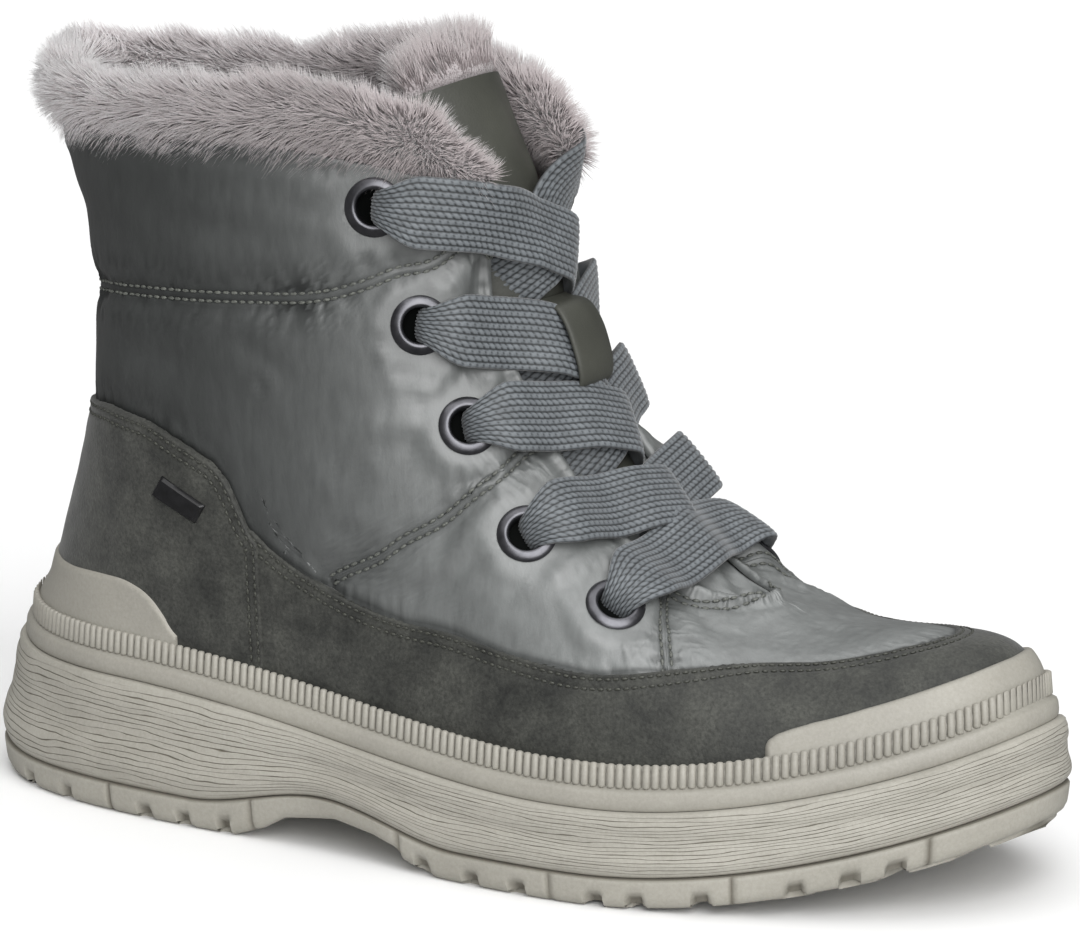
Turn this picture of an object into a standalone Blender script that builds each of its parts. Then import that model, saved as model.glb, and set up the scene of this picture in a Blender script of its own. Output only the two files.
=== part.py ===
# Padded winter ankle boot, right foot, standing empty on its sole.
# Sizes are in millimetres: x runs from the back of the heel to the toe, y to the inner (medial) side
# and z up from the ground.  Positions round the boot are given as "around": 0 at the back of the heel,
# 0.25 at the outer waist, 0.5 at the toe tip and 0.75 at the inner waist.
import math

import bmesh
import bpy
import numpy as np
from mathutils import Vector

# ---- driving sizes ----
footLength = 288.0        # x of the toe tip
originShift = (148.15, -1.63, 0.0)     # middle of the part in plan, moved to the origin
gap = 0.3                 # clearance between neighbouring pieces
soleStations = 88         # points round the sole
upperStations = 70        # points round the upper

# outline of the sole where outsole and midsole meet: heel, outer side, toe, inner side
soleOutline = [
    # x, y
    (7.5, 0), (17, -25), (52, -43), (112, -49), (164, -55), (205, -55), (248, -41), (281, -17),
    (288.5, 9), (274, 36), (235, 51), (190, 51), (120, 37), (52, 40), (17, 25)]

outsoleThickness = 7.5
toeSpringStart = 197.0
toeSpringHeight = 18.0
heelTuckEnd = 35.0
heelTuckHeight = 3.0
archRise = 6.3            # lift of the seam between outsole and midsole in the arch
midsoleHeel = 25.6
midsoleFore = 14.84
bandHeight = 10.3         # smooth band and ribs together
sideInset = 3.4           # lean of the midsole wall, and its larger value round the heel
sideInsetHeel = 6.9
lastInset = 5.4           # from the foot of the band in to the outer face of the upper
wallThickness = 5.4
edgeThickness = 4.0       # at the collar, throat and lower edges
leatherInner = 0.65
leatherOuter = 1.6
insoleThickness = 5.0
treadDepth = 3.4
treadWidth = 3.8
treadSweep = 6.0          # how far a groove runs back from the middle to its ends
heelTreads = np.arange(31, 97, 13.0)
foreTreads = np.arange(167, 285, 12.5)

# underside of the arch, between the heel block and the forefoot
archProfile = [
    # x, height
    (98, 0), (107, 3.2), (113, 6.6), (128, 8.8), (140, 7.0), (147, 5.0), (149, 2.6), (156, 0.4), (160, 0)]

# collar and throat edge of the upper, outer half; the inner half mirrors it about the centre line
topLine = [
    # around, x, y, z
    (0.000, 27.5, 0, 166), (0.050, 33.5, -20, 165), (0.100, 49, -33.5, 164), (0.138, 72, -40, 164),
    (0.175, 98, -41, 165), (0.213, 125, -37.5, 163), (0.243, 145, -28, 158), (0.265, 153, -20, 150),
    (0.288, 153, -18.5, 131), (0.310, 161, -18, 111), (0.337, 174, -17, 91), (0.370, 188, -15.5, 76),
    (0.420, 204, -11, 66), (0.500, 217, 0, 64.5)]

# how each meridian leaves the sole and arrives at the top line: flare and spread go outwards,
# lean and reach go forwards
meridians = [
    # around, rise, flare, lean, drop, spread, reach
    (0.00, 46, 0, 11, 52, 0, 37), (0.05, 44, 1, 8, 52, 1, 29), (0.10, 44, 2, 3, 49, 2, 15),
    (0.15, 45, 3, 0, 46, 3, 2), (0.20, 45, 2, 0, 38, 5, -2), (0.24, 43, 1, -1, 26, 8, -8),
    (0.265, 40, 0, -3, 18, 9, -12), (0.29, 36, 1, -3, 10, 11, -12), (0.33, 31, 0, 0, 6, 15, -7),
    (0.37, 27, 1, 0, 8, 16, -3), (0.41, 25, 2, 0, 14, 15, 0), (0.45, 30, 4, 0, 18, 14, 0),
    (0.50, 35, 7, 0, 19, 14, 0)]
centreDrift = 4.5         # the throat's centre line runs this far inwards by the toe tip

# upper edges of the leather pieces and bumpers
counterEdge = [
    # around, height
    (0.000, 94), (0.060, 97), (0.100, 98), (0.132, 96.5), (0.151, 92), (0.166, 88), (0.174, 80),
    (0.179, 70)]
counterEnd = 0.179
guardEdge = [
    # around, share of the meridian
    (0.183, 0.300), (0.206, 0.250), (0.244, 0.228), (0.301, 0.270), (0.336, 0.317), (0.385, 0.467),
    (0.417, 0.557), (0.450, 0.519), (0.481, 0.448), (0.500, 0.420)]
heelBumperEdge = [
    # around, height above the band
    (0.000, 10.5), (0.050, 11.5), (0.096, 13), (0.116, 13.5), (0.128, 11.5), (0.136, 7.5), (0.143, 1.5)]
toeBumperEdge = [
    # around, share of the meridian
    (0.393, 0.147), (0.399, 0.186), (0.406, 0.219), (0.415, 0.239), (0.435, 0.239), (0.455, 0.227),
    (0.477, 0.213), (0.500, 0.206)]
bumperOuter = 3.3

# tongue: outer face along its middle, with half its width and the radius across
tongueLine = [
    # x, z, half width, radius
    (221, 53.5, 9, 18), (213, 58, 12, 18), (204, 63.5, 14, 17), (194, 72.5, 17, 18), (184.5, 81.5, 19, 19),
    (175.5, 92, 21, 19), (168.5, 102.5, 22, 19), (162, 116, 22, 19), (158, 130, 22, 19), (154, 145, 22, 20),
    (148.5, 159, 23, 22), (143, 170.5, 24, 24), (139, 179, 24, 25)]
tongueThickness = 5.0

# eyelets, outer side, on the upper's own surface; the inner side mirrors them
eyeletPlaces = [
    # around, share of the meridian
    (0.225, 0.909), (0.248, 0.695), (0.293, 0.656), (0.318, 0.571), (0.355, 0.578)]
eyeletBore = 4.3
eyeletBarrel = 4.9
eyeletFlange = 7.1
eyeletSides = 8

laceWidth = 14.6
laceThickness = 2.0
crossingReach = [12.5, 12.5, 12.5, 10.0]   # half the length of each crossing between the flaps
barReach = 10.0
laceOverTongue = 0.6
laceRise = 4.0            # how far the straps lift from the tongue towards the flaps

badgeCorners = [
    # around, share of the meridian
    (0.134, 0.354), (0.155, 0.314), (0.140, 0.393), (0.160, 0.349)]


# ---- curves and surfaces ----
def smooth(t):
    t = np.clip(t, 0.0, 1.0)
    return t * t * (3 - 2 * t)


def spline(knots, values, at, period=None):
    # natural cubic spline, closed by repeating its knots on both sides when it has a period
    k = np.array(knots, float)
    v = np.array(values, float).reshape(len(k), -1)
    at = np.array(at, float)
    if period:
        at = k[0] + (at - k[0]) % period
        k = np.concatenate([k - period, k, k + period])
        v = np.tile(v, (3, 1))
    step = np.diff(k)
    slope = np.diff(v, axis=0) / step[:, None]
    system = np.eye(len(k))
    right = np.zeros_like(v)
    for i in range(1, len(k) - 1):
        system[i, i - 1:i + 2] = step[i - 1], 2 * (step[i - 1] + step[i]), step[i]
        right[i] = 6 * (slope[i] - slope[i - 1])
    bend = np.linalg.solve(system, right)
    i = np.clip(np.searchsorted(k, at, side="right") - 1, 0, len(k) - 2)
    s = step[i][:, None]
    t = (at - k[i])[:, None]
    return (v[i] + t * (slope[i] - s * (2 * bend[i] + bend[i + 1]) / 6) + t * t * bend[i] / 2
            + t ** 3 * (bend[i + 1] - bend[i]) / (6 * s))


def halfTable(rows, around, flip=None):
    # a table for the outer half, mirrored to the inner half and read as a closed spline
    rows = np.array(rows, float)
    back = rows[-2:0:-1].copy()
    back[:, 0] = 1 - back[:, 0]
    if flip is not None:
        back[:, flip] *= -1
    both = np.concatenate([rows, back])
    return spline(both[:, 0], both[:, 1:], around, 1.0)


def edgeTable(rows, around):
    # a pair of columns read in straight steps, the same on both sides of the boot
    rows = np.array(rows, float)
    side = np.abs((np.array(around) + 0.5) % 1 - 0.5)
    return np.interp(side, rows[:, 0], rows[:, 1])


def evenOutline(count=1440):
    points = np.array(soleOutline, float)
    chord = np.sqrt(np.linalg.norm(np.roll(points, -1, axis=0) - points, axis=1))
    knots = np.concatenate([[0], np.cumsum(chord)[:-1]])
    fine = spline(knots, points, np.linspace(0, chord.sum(), 4 * count, endpoint=False), chord.sum())
    walked = np.concatenate([[0], np.cumsum(np.linalg.norm(np.roll(fine, -1, axis=0) - fine, axis=1))])
    share = np.linspace(0, walked[-1], count, endpoint=False)
    ring = np.concatenate([fine, fine[:1]])
    return np.stack([np.interp(share, walked, ring[:, c]) for c in (0, 1)], axis=1)


outline = evenOutline()


def soleEdge(around, inset=0.0):
    # point of the sole's outline in plan, moved inwards, and its outward direction
    n = len(outline)
    place = (np.array(around, float) % 1) * n
    i = place.astype(int)
    w = (place - i)[:, None]
    run = np.roll(outline, -4, axis=0) - np.roll(outline, 4, axis=0)
    point = outline[i % n] * (1 - w) + outline[(i + 1) % n] * w
    along = run[i % n] * (1 - w) + run[(i + 1) % n] * w
    along /= np.linalg.norm(along, axis=1)[:, None]
    out = np.stack([along[:, 1], -along[:, 0]], axis=1)
    return point - out * np.broadcast_to(inset, len(point))[:, None], out


def groundLift(x):
    toe = np.clip((x - toeSpringStart) / (footLength - toeSpringStart), 0, None)
    heel = np.clip((heelTuckEnd - x) / heelTuckEnd, 0, None)
    return toeSpringHeight * toe ** 2 + heelTuckHeight * heel ** 2


def seamHeight(x):
    return outsoleThickness + groundLift(x) + archRise * smooth((x - 85) / 40) * smooth((165 - x) / 40)


def undersideHeight(x):
    rows = np.array(archProfile, float)
    return groundLift(x) + np.interp(x, rows[:, 0], rows[:, 1])


def footbedHeight(x):
    slope = smooth((x - 60) / 130)
    return outsoleThickness + groundLift(x) + midsoleHeel + (midsoleFore - midsoleHeel) * slope


def wallInset(x):
    return sideInset + (sideInsetHeel - sideInset) * smooth((60 - x) / 60)


def skin(around, share):
    # outer face of the padded upper: share runs from the sole, 0, to the collar or throat edge, 1
    edge, _ = soleEdge(around)
    foot, out = soleEdge(around, wallInset(edge[:, 0]) + lastInset)
    foot = np.column_stack([foot, footbedHeight(edge[:, 0]) + gap])
    out = np.column_stack([out, np.zeros(len(out))])
    top = halfTable(topLine, around, flip=2)
    top[:, 1] += centreDrift * (top[:, 0] / footLength) ** 2
    rise, flare, lean, drop, spread, reach = np.split(halfTable(meridians, around), 6, axis=1)
    up = np.array([0.0, 0.0, 1.0])
    forward = np.array([1.0, 0.0, 0.0])
    low = foot + up * rise + out * flare + forward * lean
    high = top - up * drop + out * spread + forward * reach
    t = np.array(share, float)[:, None]
    return (1 - t) ** 3 * foot + 3 * (1 - t) ** 2 * t * low + 3 * (1 - t) * t * t * high + t ** 3 * top


def skinFrame(around, share):
    # point on the outer face with its outward normal and its upward direction
    around = np.array(around, float)
    share = np.array(share, float)
    d = 0.004
    low = np.clip(share - d, 0, 1)
    high = np.clip(share + d, 0, 1)
    across = skin(around + d, share) - skin(around - d, share)
    up = skin(around, high) - skin(around, low)
    out = np.cross(across, up)
    out /= np.linalg.norm(out, axis=1)[:, None]
    up /= np.linalg.norm(up, axis=1)[:, None]
    return skin(around, share), out, up


def wall(around, share, offset=0.0):
    point, out, _ = skinFrame(around, share)
    return point + out * np.broadcast_to(offset, len(point))[:, None]


def wallDepth(share):
    # thickness of the upper's wall along a meridian
    edge = np.maximum(smooth((share - 0.55) / 0.4), smooth(1 - share / 0.16))
    return wallThickness + (edgeThickness - wallThickness) * edge


def shareAt(around, height):
    # share of each meridian where the outer face reaches a height
    steps = np.linspace(0, 0.7, 71)
    result = []
    for a, z in zip(np.array(around, float), np.broadcast_to(height, len(around))):
        heights = skin(np.full(len(steps), a), steps)[:, 2]
        result.append(np.interp(z, np.maximum.accumulate(heights), steps))
    return np.array(result)


def bandTop(around):
    edge, _ = soleEdge(around)
    return footbedHeight(edge[:, 0]) + bandHeight


def tongueFace(along, across, offset=0.0):
    # tongue: along runs from the vamp, 0, to the top, 1; across is a distance from the middle
    knots = np.linspace(0, 1, len(tongueLine))
    x, z, _, radius = spline(knots, tongueLine, along).T
    d = 0.01
    ahead = spline(knots, tongueLine, np.clip(along + d, 0, 1))[:, :2]
    behind = spline(knots, tongueLine, np.clip(along - d, 0, 1))[:, :2]
    run = ahead - behind
    run /= np.linalg.norm(run, axis=1)[:, None]
    out = np.column_stack([run[:, 1], np.zeros(len(x)), -run[:, 0]])
    up = np.column_stack([run[:, 0], np.zeros(len(x)), run[:, 1]])
    angle = across / radius
    drift = centreDrift * (x / footLength) ** 2
    middle = np.column_stack([x, drift, z])
    side = np.array([0.0, 1.0, 0.0])
    reach = radius + offset
    point = middle + side * (reach * np.sin(angle))[:, None]
    point += out * (reach * np.cos(angle) - radius)[:, None]
    return point, out, up


# ---- solids ----
def ladder(loop):
    # closes a loop of vertices with rungs from its two ends to its middle
    n = len(loop)
    return [[loop[i], loop[i + 1], loop[n - 2 - i], loop[n - 1 - i]] for i in range(n // 2 - 1)]


def loft(loops, ring=False):
    # skin over closed loops; a ring joins its last loop to its first, anything else is capped
    loops = np.array(loops)
    count, size = loops.shape[:2]
    index = np.arange(count * size).reshape(count, size)
    faces = []
    for i in range(count if ring else count - 1):
        a, b = index[i], index[(i + 1) % count]
        faces += [[a[j], a[(j + 1) % size], b[(j + 1) % size], b[j]] for j in range(size)]
    if not ring:
        faces += ladder(list(index[0])) + ladder(list(index[-1]))
    return loops.reshape(-1, 3), [[int(v) for v in face] for face in faces]


def addMaterial(name, colour, roughness, metallic=0.0):
    material = bpy.data.materials.new(name)
    material.use_nodes = True
    shader = material.node_tree.nodes["Principled BSDF"]
    shader.inputs["Base Color"].default_value = (*colour, 1.0)
    shader.inputs["Roughness"].default_value = roughness
    shader.inputs["Metallic"].default_value = metallic
    return material


def addSolid(name, shape, material, sharpAngle=35.0):
    points, faces = shape
    mesh = bpy.data.meshes.new(name)
    mesh.from_pydata([tuple(p) for p in (np.array(points) - originShift) * 0.001], [], faces)
    work = bmesh.new()
    work.from_mesh(mesh)
    bmesh.ops.recalc_face_normals(work, faces=work.faces)
    if work.calc_volume(signed=True) < 0:
        bmesh.ops.reverse_faces(work, faces=work.faces)
    work.to_mesh(mesh)
    work.free()
    mesh.shade_smooth()
    mesh.set_sharp_from_angle(angle=math.radians(sharpAngle))
    solid = bpy.data.objects.new(name, mesh)
    bpy.context.collection.objects.link(solid)
    if material:
        mesh.materials.append(material)
    return solid


def applyBoolean(solid, tool, operation):
    modifier = solid.modifiers.new(operation.title(), "BOOLEAN")
    modifier.operation = operation
    modifier.object = tool
    modifier.solver = "EXACT"
    result = bpy.data.meshes.new_from_object(solid.evaluated_get(bpy.context.evaluated_depsgraph_get()))
    solid.modifiers.clear()
    solid.data = result
    bpy.data.objects.remove(tool)


def stationLoops(count):
    return (np.arange(count) + 0.5) / count


def stationsWithin(low, high):
    # the upper's own stations between two places, and the places themselves
    own = (np.arange(-upperStations, upperStations) + 0.5) / upperStations
    inside = own[(own > low + 0.003) & (own < high - 0.003)]
    return np.concatenate([[low], inside, [high]])


def soleRings(rows, count=soleStations):
    # rings of the sole, each row an inset from the outline and a height for every station
    around = stationLoops(count)
    edge, _ = soleEdge(around)
    rings = []
    for inset, height in rows:
        plan, _ = soleEdge(around, inset(edge[:, 0]))
        rings.append(np.column_stack([plan, height(edge[:, 0])]))
    return rings


def makeOutsole(material):
    rings = soleRings([
        (lambda x: 3.2 + 0 * x, undersideHeight),
        (lambda x: 0.8 + 0 * x, lambda x: 0.6 * undersideHeight(x) + 0.4 * seamHeight(x)),
        (lambda x: 0.4 + 0 * x, lambda x: seamHeight(x) - gap / 2)])
    outsole = addSolid("outsole", loft(rings), material)
    for x in np.concatenate([heelTreads, foreTreads]):
        applyBoolean(outsole, treadCutter(x), "DIFFERENCE")
    return outsole


def treadCutter(x):
    # chevron groove right across the sole, reaching past its edges and below the ground
    reach, half = 75.0, treadWidth / 2
    roof = float(groundLift(np.array([x - treadSweep / 2]))[0]) + treadDepth
    floor = roof - 30.0
    loops = []
    for y in (-reach, 0.0, reach):
        middle = x - treadSweep * abs(y) / reach
        loops.append([(middle - half, y, floor), (middle + half, y, floor),
                      (middle + half * 0.7, y, roof), (middle - half * 0.7, y, roof)])
    return addSolid("treadCutter", loft(loops), None)


def makeMidsole(material):
    # grooved at its foot, leaning in towards its upper edge
    def at(share):
        return lambda x: (1 - share) * (seamHeight(x) + gap / 2) + share * footbedHeight(x)
    return addSolid("midsole", loft(soleRings([
        (lambda x: 1.3 + 0 * x, at(0.0)),
        (lambda x: 0.3 + 0 * x, at(0.09)),
        (lambda x: 0.2 + 0.45 * (wallInset(x) - 1.6), at(0.5)),
        (lambda x: wallInset(x) - 1.6, at(0.96)),
        (lambda x: wallInset(x) - 1.1, at(1.0))])), material)


def makeInsole(material):
    def inset(x):
        return wallInset(x) + lastInset + wallThickness + 0.9
    return addSolid("insole", loft(soleRings([
        (inset, lambda x: footbedHeight(x) + gap),
        (inset, lambda x: footbedHeight(x) + gap + insoleThickness - 1),
        (lambda x: inset(x) + 1.0, lambda x: footbedHeight(x) + gap + insoleThickness)], 56)), material)


def makeUpper(material):
    around = stationLoops(upperStations)
    shares = np.concatenate([[0.0, 0.07], np.linspace(0.16, 0.9, 7), [0.95, 1.0]])
    outer, inner = [], []
    for share in shares:
        full = np.full(len(around), share)
        outer.append(wall(around, full))
        inner.append(wall(around, full, -wallDepth(share)))
    inner[0][:, 2] = outer[0][:, 2]
    loops = np.concatenate([np.array(outer), np.array(inner)[::-1]]).transpose(1, 0, 2)
    upper = addSolid("upper", loft(loops, ring=True), material, 50)
    for side in (0, 1):
        for place in eyeletPlaces:
            point, out = eyeletPose(place, side)
            rod = [(eyeletBarrel + 0.5, -14), (eyeletBarrel + 0.5, 9)]
            hole = turned(rod, point, out, eyeletSides, closed=False)
            applyBoolean(upper, addSolid("eyeletHole", hole, None), "DIFFERENCE")
    return upper


def skinPatch(around, low, high, rows, inner, outer):
    # shell over part of the upper, between two shares of the meridian and two offsets from its outer face
    loops = []
    for i, a in enumerate(around):
        shares = np.linspace(low[i], high[i], rows)
        column = np.full(rows, a)
        outside = wall(column, shares, outer[i])
        inside = wall(column, shares, inner)
        loops.append(np.concatenate([outside, inside[::-1]]))
    return loft(loops)


def makeFoxing(material):
    # band round the foot of the upper: a smooth lower part and a stepped-in ribbed part
    around = stationLoops(upperStations)
    edge, _ = soleEdge(around)
    base = footbedHeight(edge[:, 0])
    outer, inner = [], []
    for step, height in ((0.0, gap), (0.5, 4.5), (1.5, 5.1), (2.5, bandHeight)):
        plan, _ = soleEdge(around, wallInset(edge[:, 0]) + step)
        outer.append(np.column_stack([plan, base + height]))
    for height in (gap, 5.1, bandHeight):
        inner.append(wall(around, shareAt(around, base + height), gap))
        inner[-1][:, 2] = base + height
    loops = np.concatenate([np.array(outer), np.array(inner)[::-1]]).transpose(1, 0, 2)
    return addSolid("foxing", loft(loops, ring=True), material)


def makeBumper(name, around, high, material):
    # smooth rubber cap over the leather, flush with the ribs at its foot
    low = shareAt(around, bandTop(around) + gap)
    plan, _ = soleEdge(around)
    rim, _ = soleEdge(around, wallInset(plan[:, 0]) + 2.5)
    reach = np.linalg.norm(rim - wall(around, low)[:, :2], axis=1)
    outer = [np.linspace(max(r, bumperOuter), bumperOuter, 4) for r in reach]
    return addSolid(name, skinPatch(around, low, high, 4, leatherOuter + gap, outer), material)


def makeLeather(name, around, high, rows, material):
    low = shareAt(around, bandTop(around) + gap)
    outer = np.full((len(around), rows), leatherOuter)
    return addSolid(name, skinPatch(around, low, high, rows, leatherInner, outer), material)


def makeFurCollar(material):
    # thick roll standing on the collar edge, tapering down the front edges of the throat
    reach = 0.250
    around = stationsWithin(-reach, reach)
    point, out, up = skinFrame(around % 1, np.ones(len(around)))
    section = [(0.8, 0.4), (3.2, 6.0), (2.4, 12.0), (-2.0, 16.5),
               (-7.5, 16.0), (-10.5, 10.0), (-9.5, 4.0), (-6.0, 0.4)]
    loops = []
    for i, a in enumerate(around):
        size = 1 - 0.6 * smooth((abs(a) - 0.222) / 0.04)
        loops.append([point[i] + out[i] * o * size + up[i] * (gap + h * size) for o, h in section])
    return addSolid("fur_collar", loft(loops), material, 60)


def makeTongue(material):
    along = np.linspace(0, 1, 14)
    half = spline(np.linspace(0, 1, len(tongueLine)), tongueLine, along)[:, 2]
    loops = []
    for i, a in enumerate(along):
        across = np.linspace(-half[i], half[i], 7)
        outer, _, _ = tongueFace(np.full(7, a), across)
        inner, _, _ = tongueFace(np.full(7, a), across * 0.97, -tongueThickness)
        loops.append(np.concatenate([outer, inner[::-1]]))
    return addSolid("tongue", loft(loops), material, 60)


def makeTongueFur(material):
    # fur on the back of the tongue, rising over its top edge
    across = np.linspace(-23, 23, 11)
    section = [(-6.3, -16), (-6.3, gap), (0.2, gap), (1.6, 6),
               (-3.5, 12.5), (-9.5, 9), (-11.5, -4), (-10.5, -16)]
    loops = []
    for s in across:
        size = 1 - 0.35 * (abs(s) / 23) ** 2
        loop = []
        for o, h in section:
            point, _, up = tongueFace(np.array([1.0]), np.array([s]), o if h < 1 else o * size)
            loop.append(point[0] + up[0] * (h if h < 1 else h * size))
        loops.append(loop)
    return addSolid("tongue_fur", loft(loops), material, 60)


def eyeletPose(place, side):
    # centre and axis of an eyelet, lifted until its flange clears the padding around it
    around = place[0] if side == 0 else 1 - place[0]
    point, out, _ = skinFrame([around], [place[1]])
    a, v = np.meshgrid(np.linspace(-0.03, 0.03, 13), np.linspace(-0.12, 0.12, 13))
    near = skin(around + a.ravel(), np.clip(place[1] + v.ravel(), 0, 1)) - point[0]
    rise = near @ out[0]
    reach = np.linalg.norm(near - np.outer(rise, out[0]), axis=1)
    return point[0] + out[0] * (rise[reach < eyeletFlange + 0.4].max() + 0.15), out[0]


def turned(profile, point, axis, sides, closed=True):
    # profile of radius and height turned about an axis; a closed profile makes a ring
    frame = Vector(axis).to_track_quat("Z", "Y").to_matrix()
    loops = []
    if closed:
        for i in range(sides):
            angle = 2 * math.pi * i / sides
            loops.append([Vector(point) + frame @ Vector((r * math.cos(angle), r * math.sin(angle), h))
                          for r, h in profile])
        return loft(loops, ring=True)
    for r, h in profile:
        loops.append([Vector(point) + frame @ Vector((r * math.cos(a), r * math.sin(a), h))
                      for a in 2 * math.pi * (np.arange(sides) + 0.5) / sides])
    return loft(loops)


def makeEyelets(material):
    back = -(wallThickness + 0.4)
    profile = [(eyeletBore, back), (eyeletBore, 0.9), (5.4, 1.5), (eyeletFlange, 0.8), (eyeletFlange, gap),
               (eyeletBarrel, gap), (eyeletBarrel, back)]
    for side, label in ((0, "outer"), (1, "inner")):
        for number, place in enumerate(eyeletPlaces, start=1):
            point, out = eyeletPose(place, side)
            addSolid(f"eyelet_{label}_{number}", turned(profile, point, out, eyeletSides), material)


def tongueMiddle():
    # places along the tongue with their points and the length run from its foot, in mm
    along = np.linspace(0, 1, 201)
    line = tongueFace(along, np.zeros(201))[0]
    run = np.concatenate([[0.0], np.cumsum(np.linalg.norm(np.diff(line, axis=0), axis=1))])
    return along, line, run


def eyeletRuns():
    # length along the tongue at which each pair of eyelets stands
    _, line, run = tongueMiddle()
    points = [eyeletPose(place, 0)[0] for place in eyeletPlaces]
    return [run[np.argmin(np.hypot(line[:, 0] - p[0], line[:, 2] - p[2]))] for p in points]


def onTongue(run, across, offset):
    along, _, runs = tongueMiddle()
    return tongueFace(np.interp(run, runs, along), across, offset)[0]


def laceStrap(start, end, reach, lift):
    # flat strap over the tongue between two lengths along it, from the lateral flap to the medial one
    across = np.linspace(-reach, reach, 7)
    middle = np.linspace(start, end, 7)
    base = laceOverTongue + lift + laceRise * (across / reach) ** 2
    edges = [onTongue(middle + side * laceWidth / 2, across, base + up * laceThickness)
             for side, up in ((-1, 0), (1, 0), (1, 1), (-1, 1))]
    return loft(list(np.array(edges).transpose(1, 0, 2)))


def makeLaces(material):
    # four crossings, the strap from the lateral side over the other, and a straight bar at the foot
    runs = eyeletRuns()
    for i, reach in enumerate(crossingReach):
        high = runs[i] + 0.31 * (runs[i + 1] - runs[i])
        low = runs[i] + 0.69 * (runs[i + 1] - runs[i])
        over = laceStrap(high, low, reach, laceThickness - 0.4)
        under = laceStrap(low, high, reach, 0.0)
        crossing = addSolid(f"lace_crossing_{i + 1}", over, material, 60)
        applyBoolean(crossing, addSolid("strap", under, None), "UNION")
    addSolid("lace_bar", laceStrap(runs[4], runs[4], barReach, 2 * laceThickness - 0.4 + gap), material, 60)


def makeLaceKeeper(material):
    # leather loop on the middle of the tongue, bridging the second crossing
    runs = eyeletRuns()
    middle = (runs[1] + runs[2]) / 2
    inner = [(-11, 1.4), (-11, 5.6), (0, 6.2), (11, 5.6), (11, 1.4)]
    outer = [(-12.2, 1.4), (-12.2, 6.8), (0, 7.4), (12.2, 6.8), (12.2, 1.4)]
    loops = []
    for below, above in zip(inner, outer):
        loop = []
        for (run, offset), across in ((below, -5.5), (below, 5.5), (above, 5.5), (above, -5.5)):
            loop.append(onTongue(np.array([middle + run]), np.array([across]), offset)[0])
        loops.append(loop)
    return addSolid("lace_keeper", loft(loops), material)


def makeBadge(material):
    corners = np.array(badgeCorners)
    face = wall(corners[:, 0], corners[:, 1], leatherOuter + gap + 1.0)
    back = wall(corners[:, 0], corners[:, 1], leatherOuter + gap + 0.15)
    loops = [[face[0], face[1], back[1], back[0]], [face[2], face[3], back[3], back[2]]]
    return addSolid("badge", loft(loops), material)


def main():
    for old in list(bpy.data.objects):
        bpy.data.objects.remove(old)
    rubber = addMaterial("rubber", (0.36, 0.34, 0.30), 0.6)
    cloth = addMaterial("padded_cloth", (0.10, 0.11, 0.11), 0.45)
    leather = addMaterial("leather", (0.07, 0.07, 0.065), 0.6)
    fur = addMaterial("fur", (0.38, 0.35, 0.35), 0.9)
    webbing = addMaterial("lace_webbing", (0.10, 0.12, 0.13), 0.8)
    metal = addMaterial("gunmetal", (0.25, 0.25, 0.26), 0.25, 1.0)
    felt = addMaterial("insole_felt", (0.30, 0.28, 0.27), 0.95)
    plate = addMaterial("badge_plate", (0.02, 0.02, 0.02), 0.4)

    makeOutsole(rubber)
    makeMidsole(rubber)
    makeFoxing(rubber)
    makeInsole(felt)
    makeUpper(cloth)
    around = stationsWithin(-counterEnd, counterEnd)
    makeLeather("heel_counter", around, shareAt(around, edgeTable(counterEdge, around)), 4, leather)
    around = stationsWithin(guardEdge[0][0], 1 - guardEdge[0][0])
    makeLeather("mudguard", around, edgeTable(guardEdge, around), 4, leather)
    around = stationsWithin(-heelBumperEdge[-1][0], heelBumperEdge[-1][0])
    high = shareAt(around, bandTop(around) + gap + edgeTable(heelBumperEdge, around))
    makeBumper("heel_bumper", around, high, rubber)
    around = stationsWithin(toeBumperEdge[0][0], 1 - toeBumperEdge[0][0])
    makeBumper("toe_bumper", around, edgeTable(toeBumperEdge, around), rubber)
    makeTongue(leather)
    makeTongueFur(fur)
    makeFurCollar(fur)
    makeEyelets(metal)
    makeLaces(webbing)
    makeLaceKeeper(leather)
    makeBadge(plate)


main()
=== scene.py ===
# Padded winter ankle boot, right foot: finish, stitching, laces and fur around the fixed frame.
# The form is in millimetres, with the same tables as the solids.  "around" is 0 at the back of the
# heel, 0.25 at the outer waist, 0.5 at the toe tip and 0.75 at the inner waist; "share" runs from the
# sole, 0, to the collar or throat edge, 1.
import math

import bmesh
import bpy
import numpy as np
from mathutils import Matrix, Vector


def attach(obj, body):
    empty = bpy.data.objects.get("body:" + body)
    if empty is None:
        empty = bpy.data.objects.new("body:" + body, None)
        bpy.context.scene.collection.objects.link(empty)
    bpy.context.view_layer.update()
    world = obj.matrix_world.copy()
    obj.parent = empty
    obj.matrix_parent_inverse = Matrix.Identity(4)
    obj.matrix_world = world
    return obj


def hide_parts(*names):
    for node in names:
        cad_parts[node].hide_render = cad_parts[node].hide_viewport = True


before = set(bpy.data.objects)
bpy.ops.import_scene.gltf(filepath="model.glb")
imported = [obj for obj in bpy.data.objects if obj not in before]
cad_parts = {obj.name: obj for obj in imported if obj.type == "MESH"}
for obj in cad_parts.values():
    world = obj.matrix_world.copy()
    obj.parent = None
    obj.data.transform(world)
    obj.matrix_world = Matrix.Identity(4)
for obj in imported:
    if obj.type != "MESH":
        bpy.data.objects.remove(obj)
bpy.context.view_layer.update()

print("frame loaded:", len(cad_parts), "solids")

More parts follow.
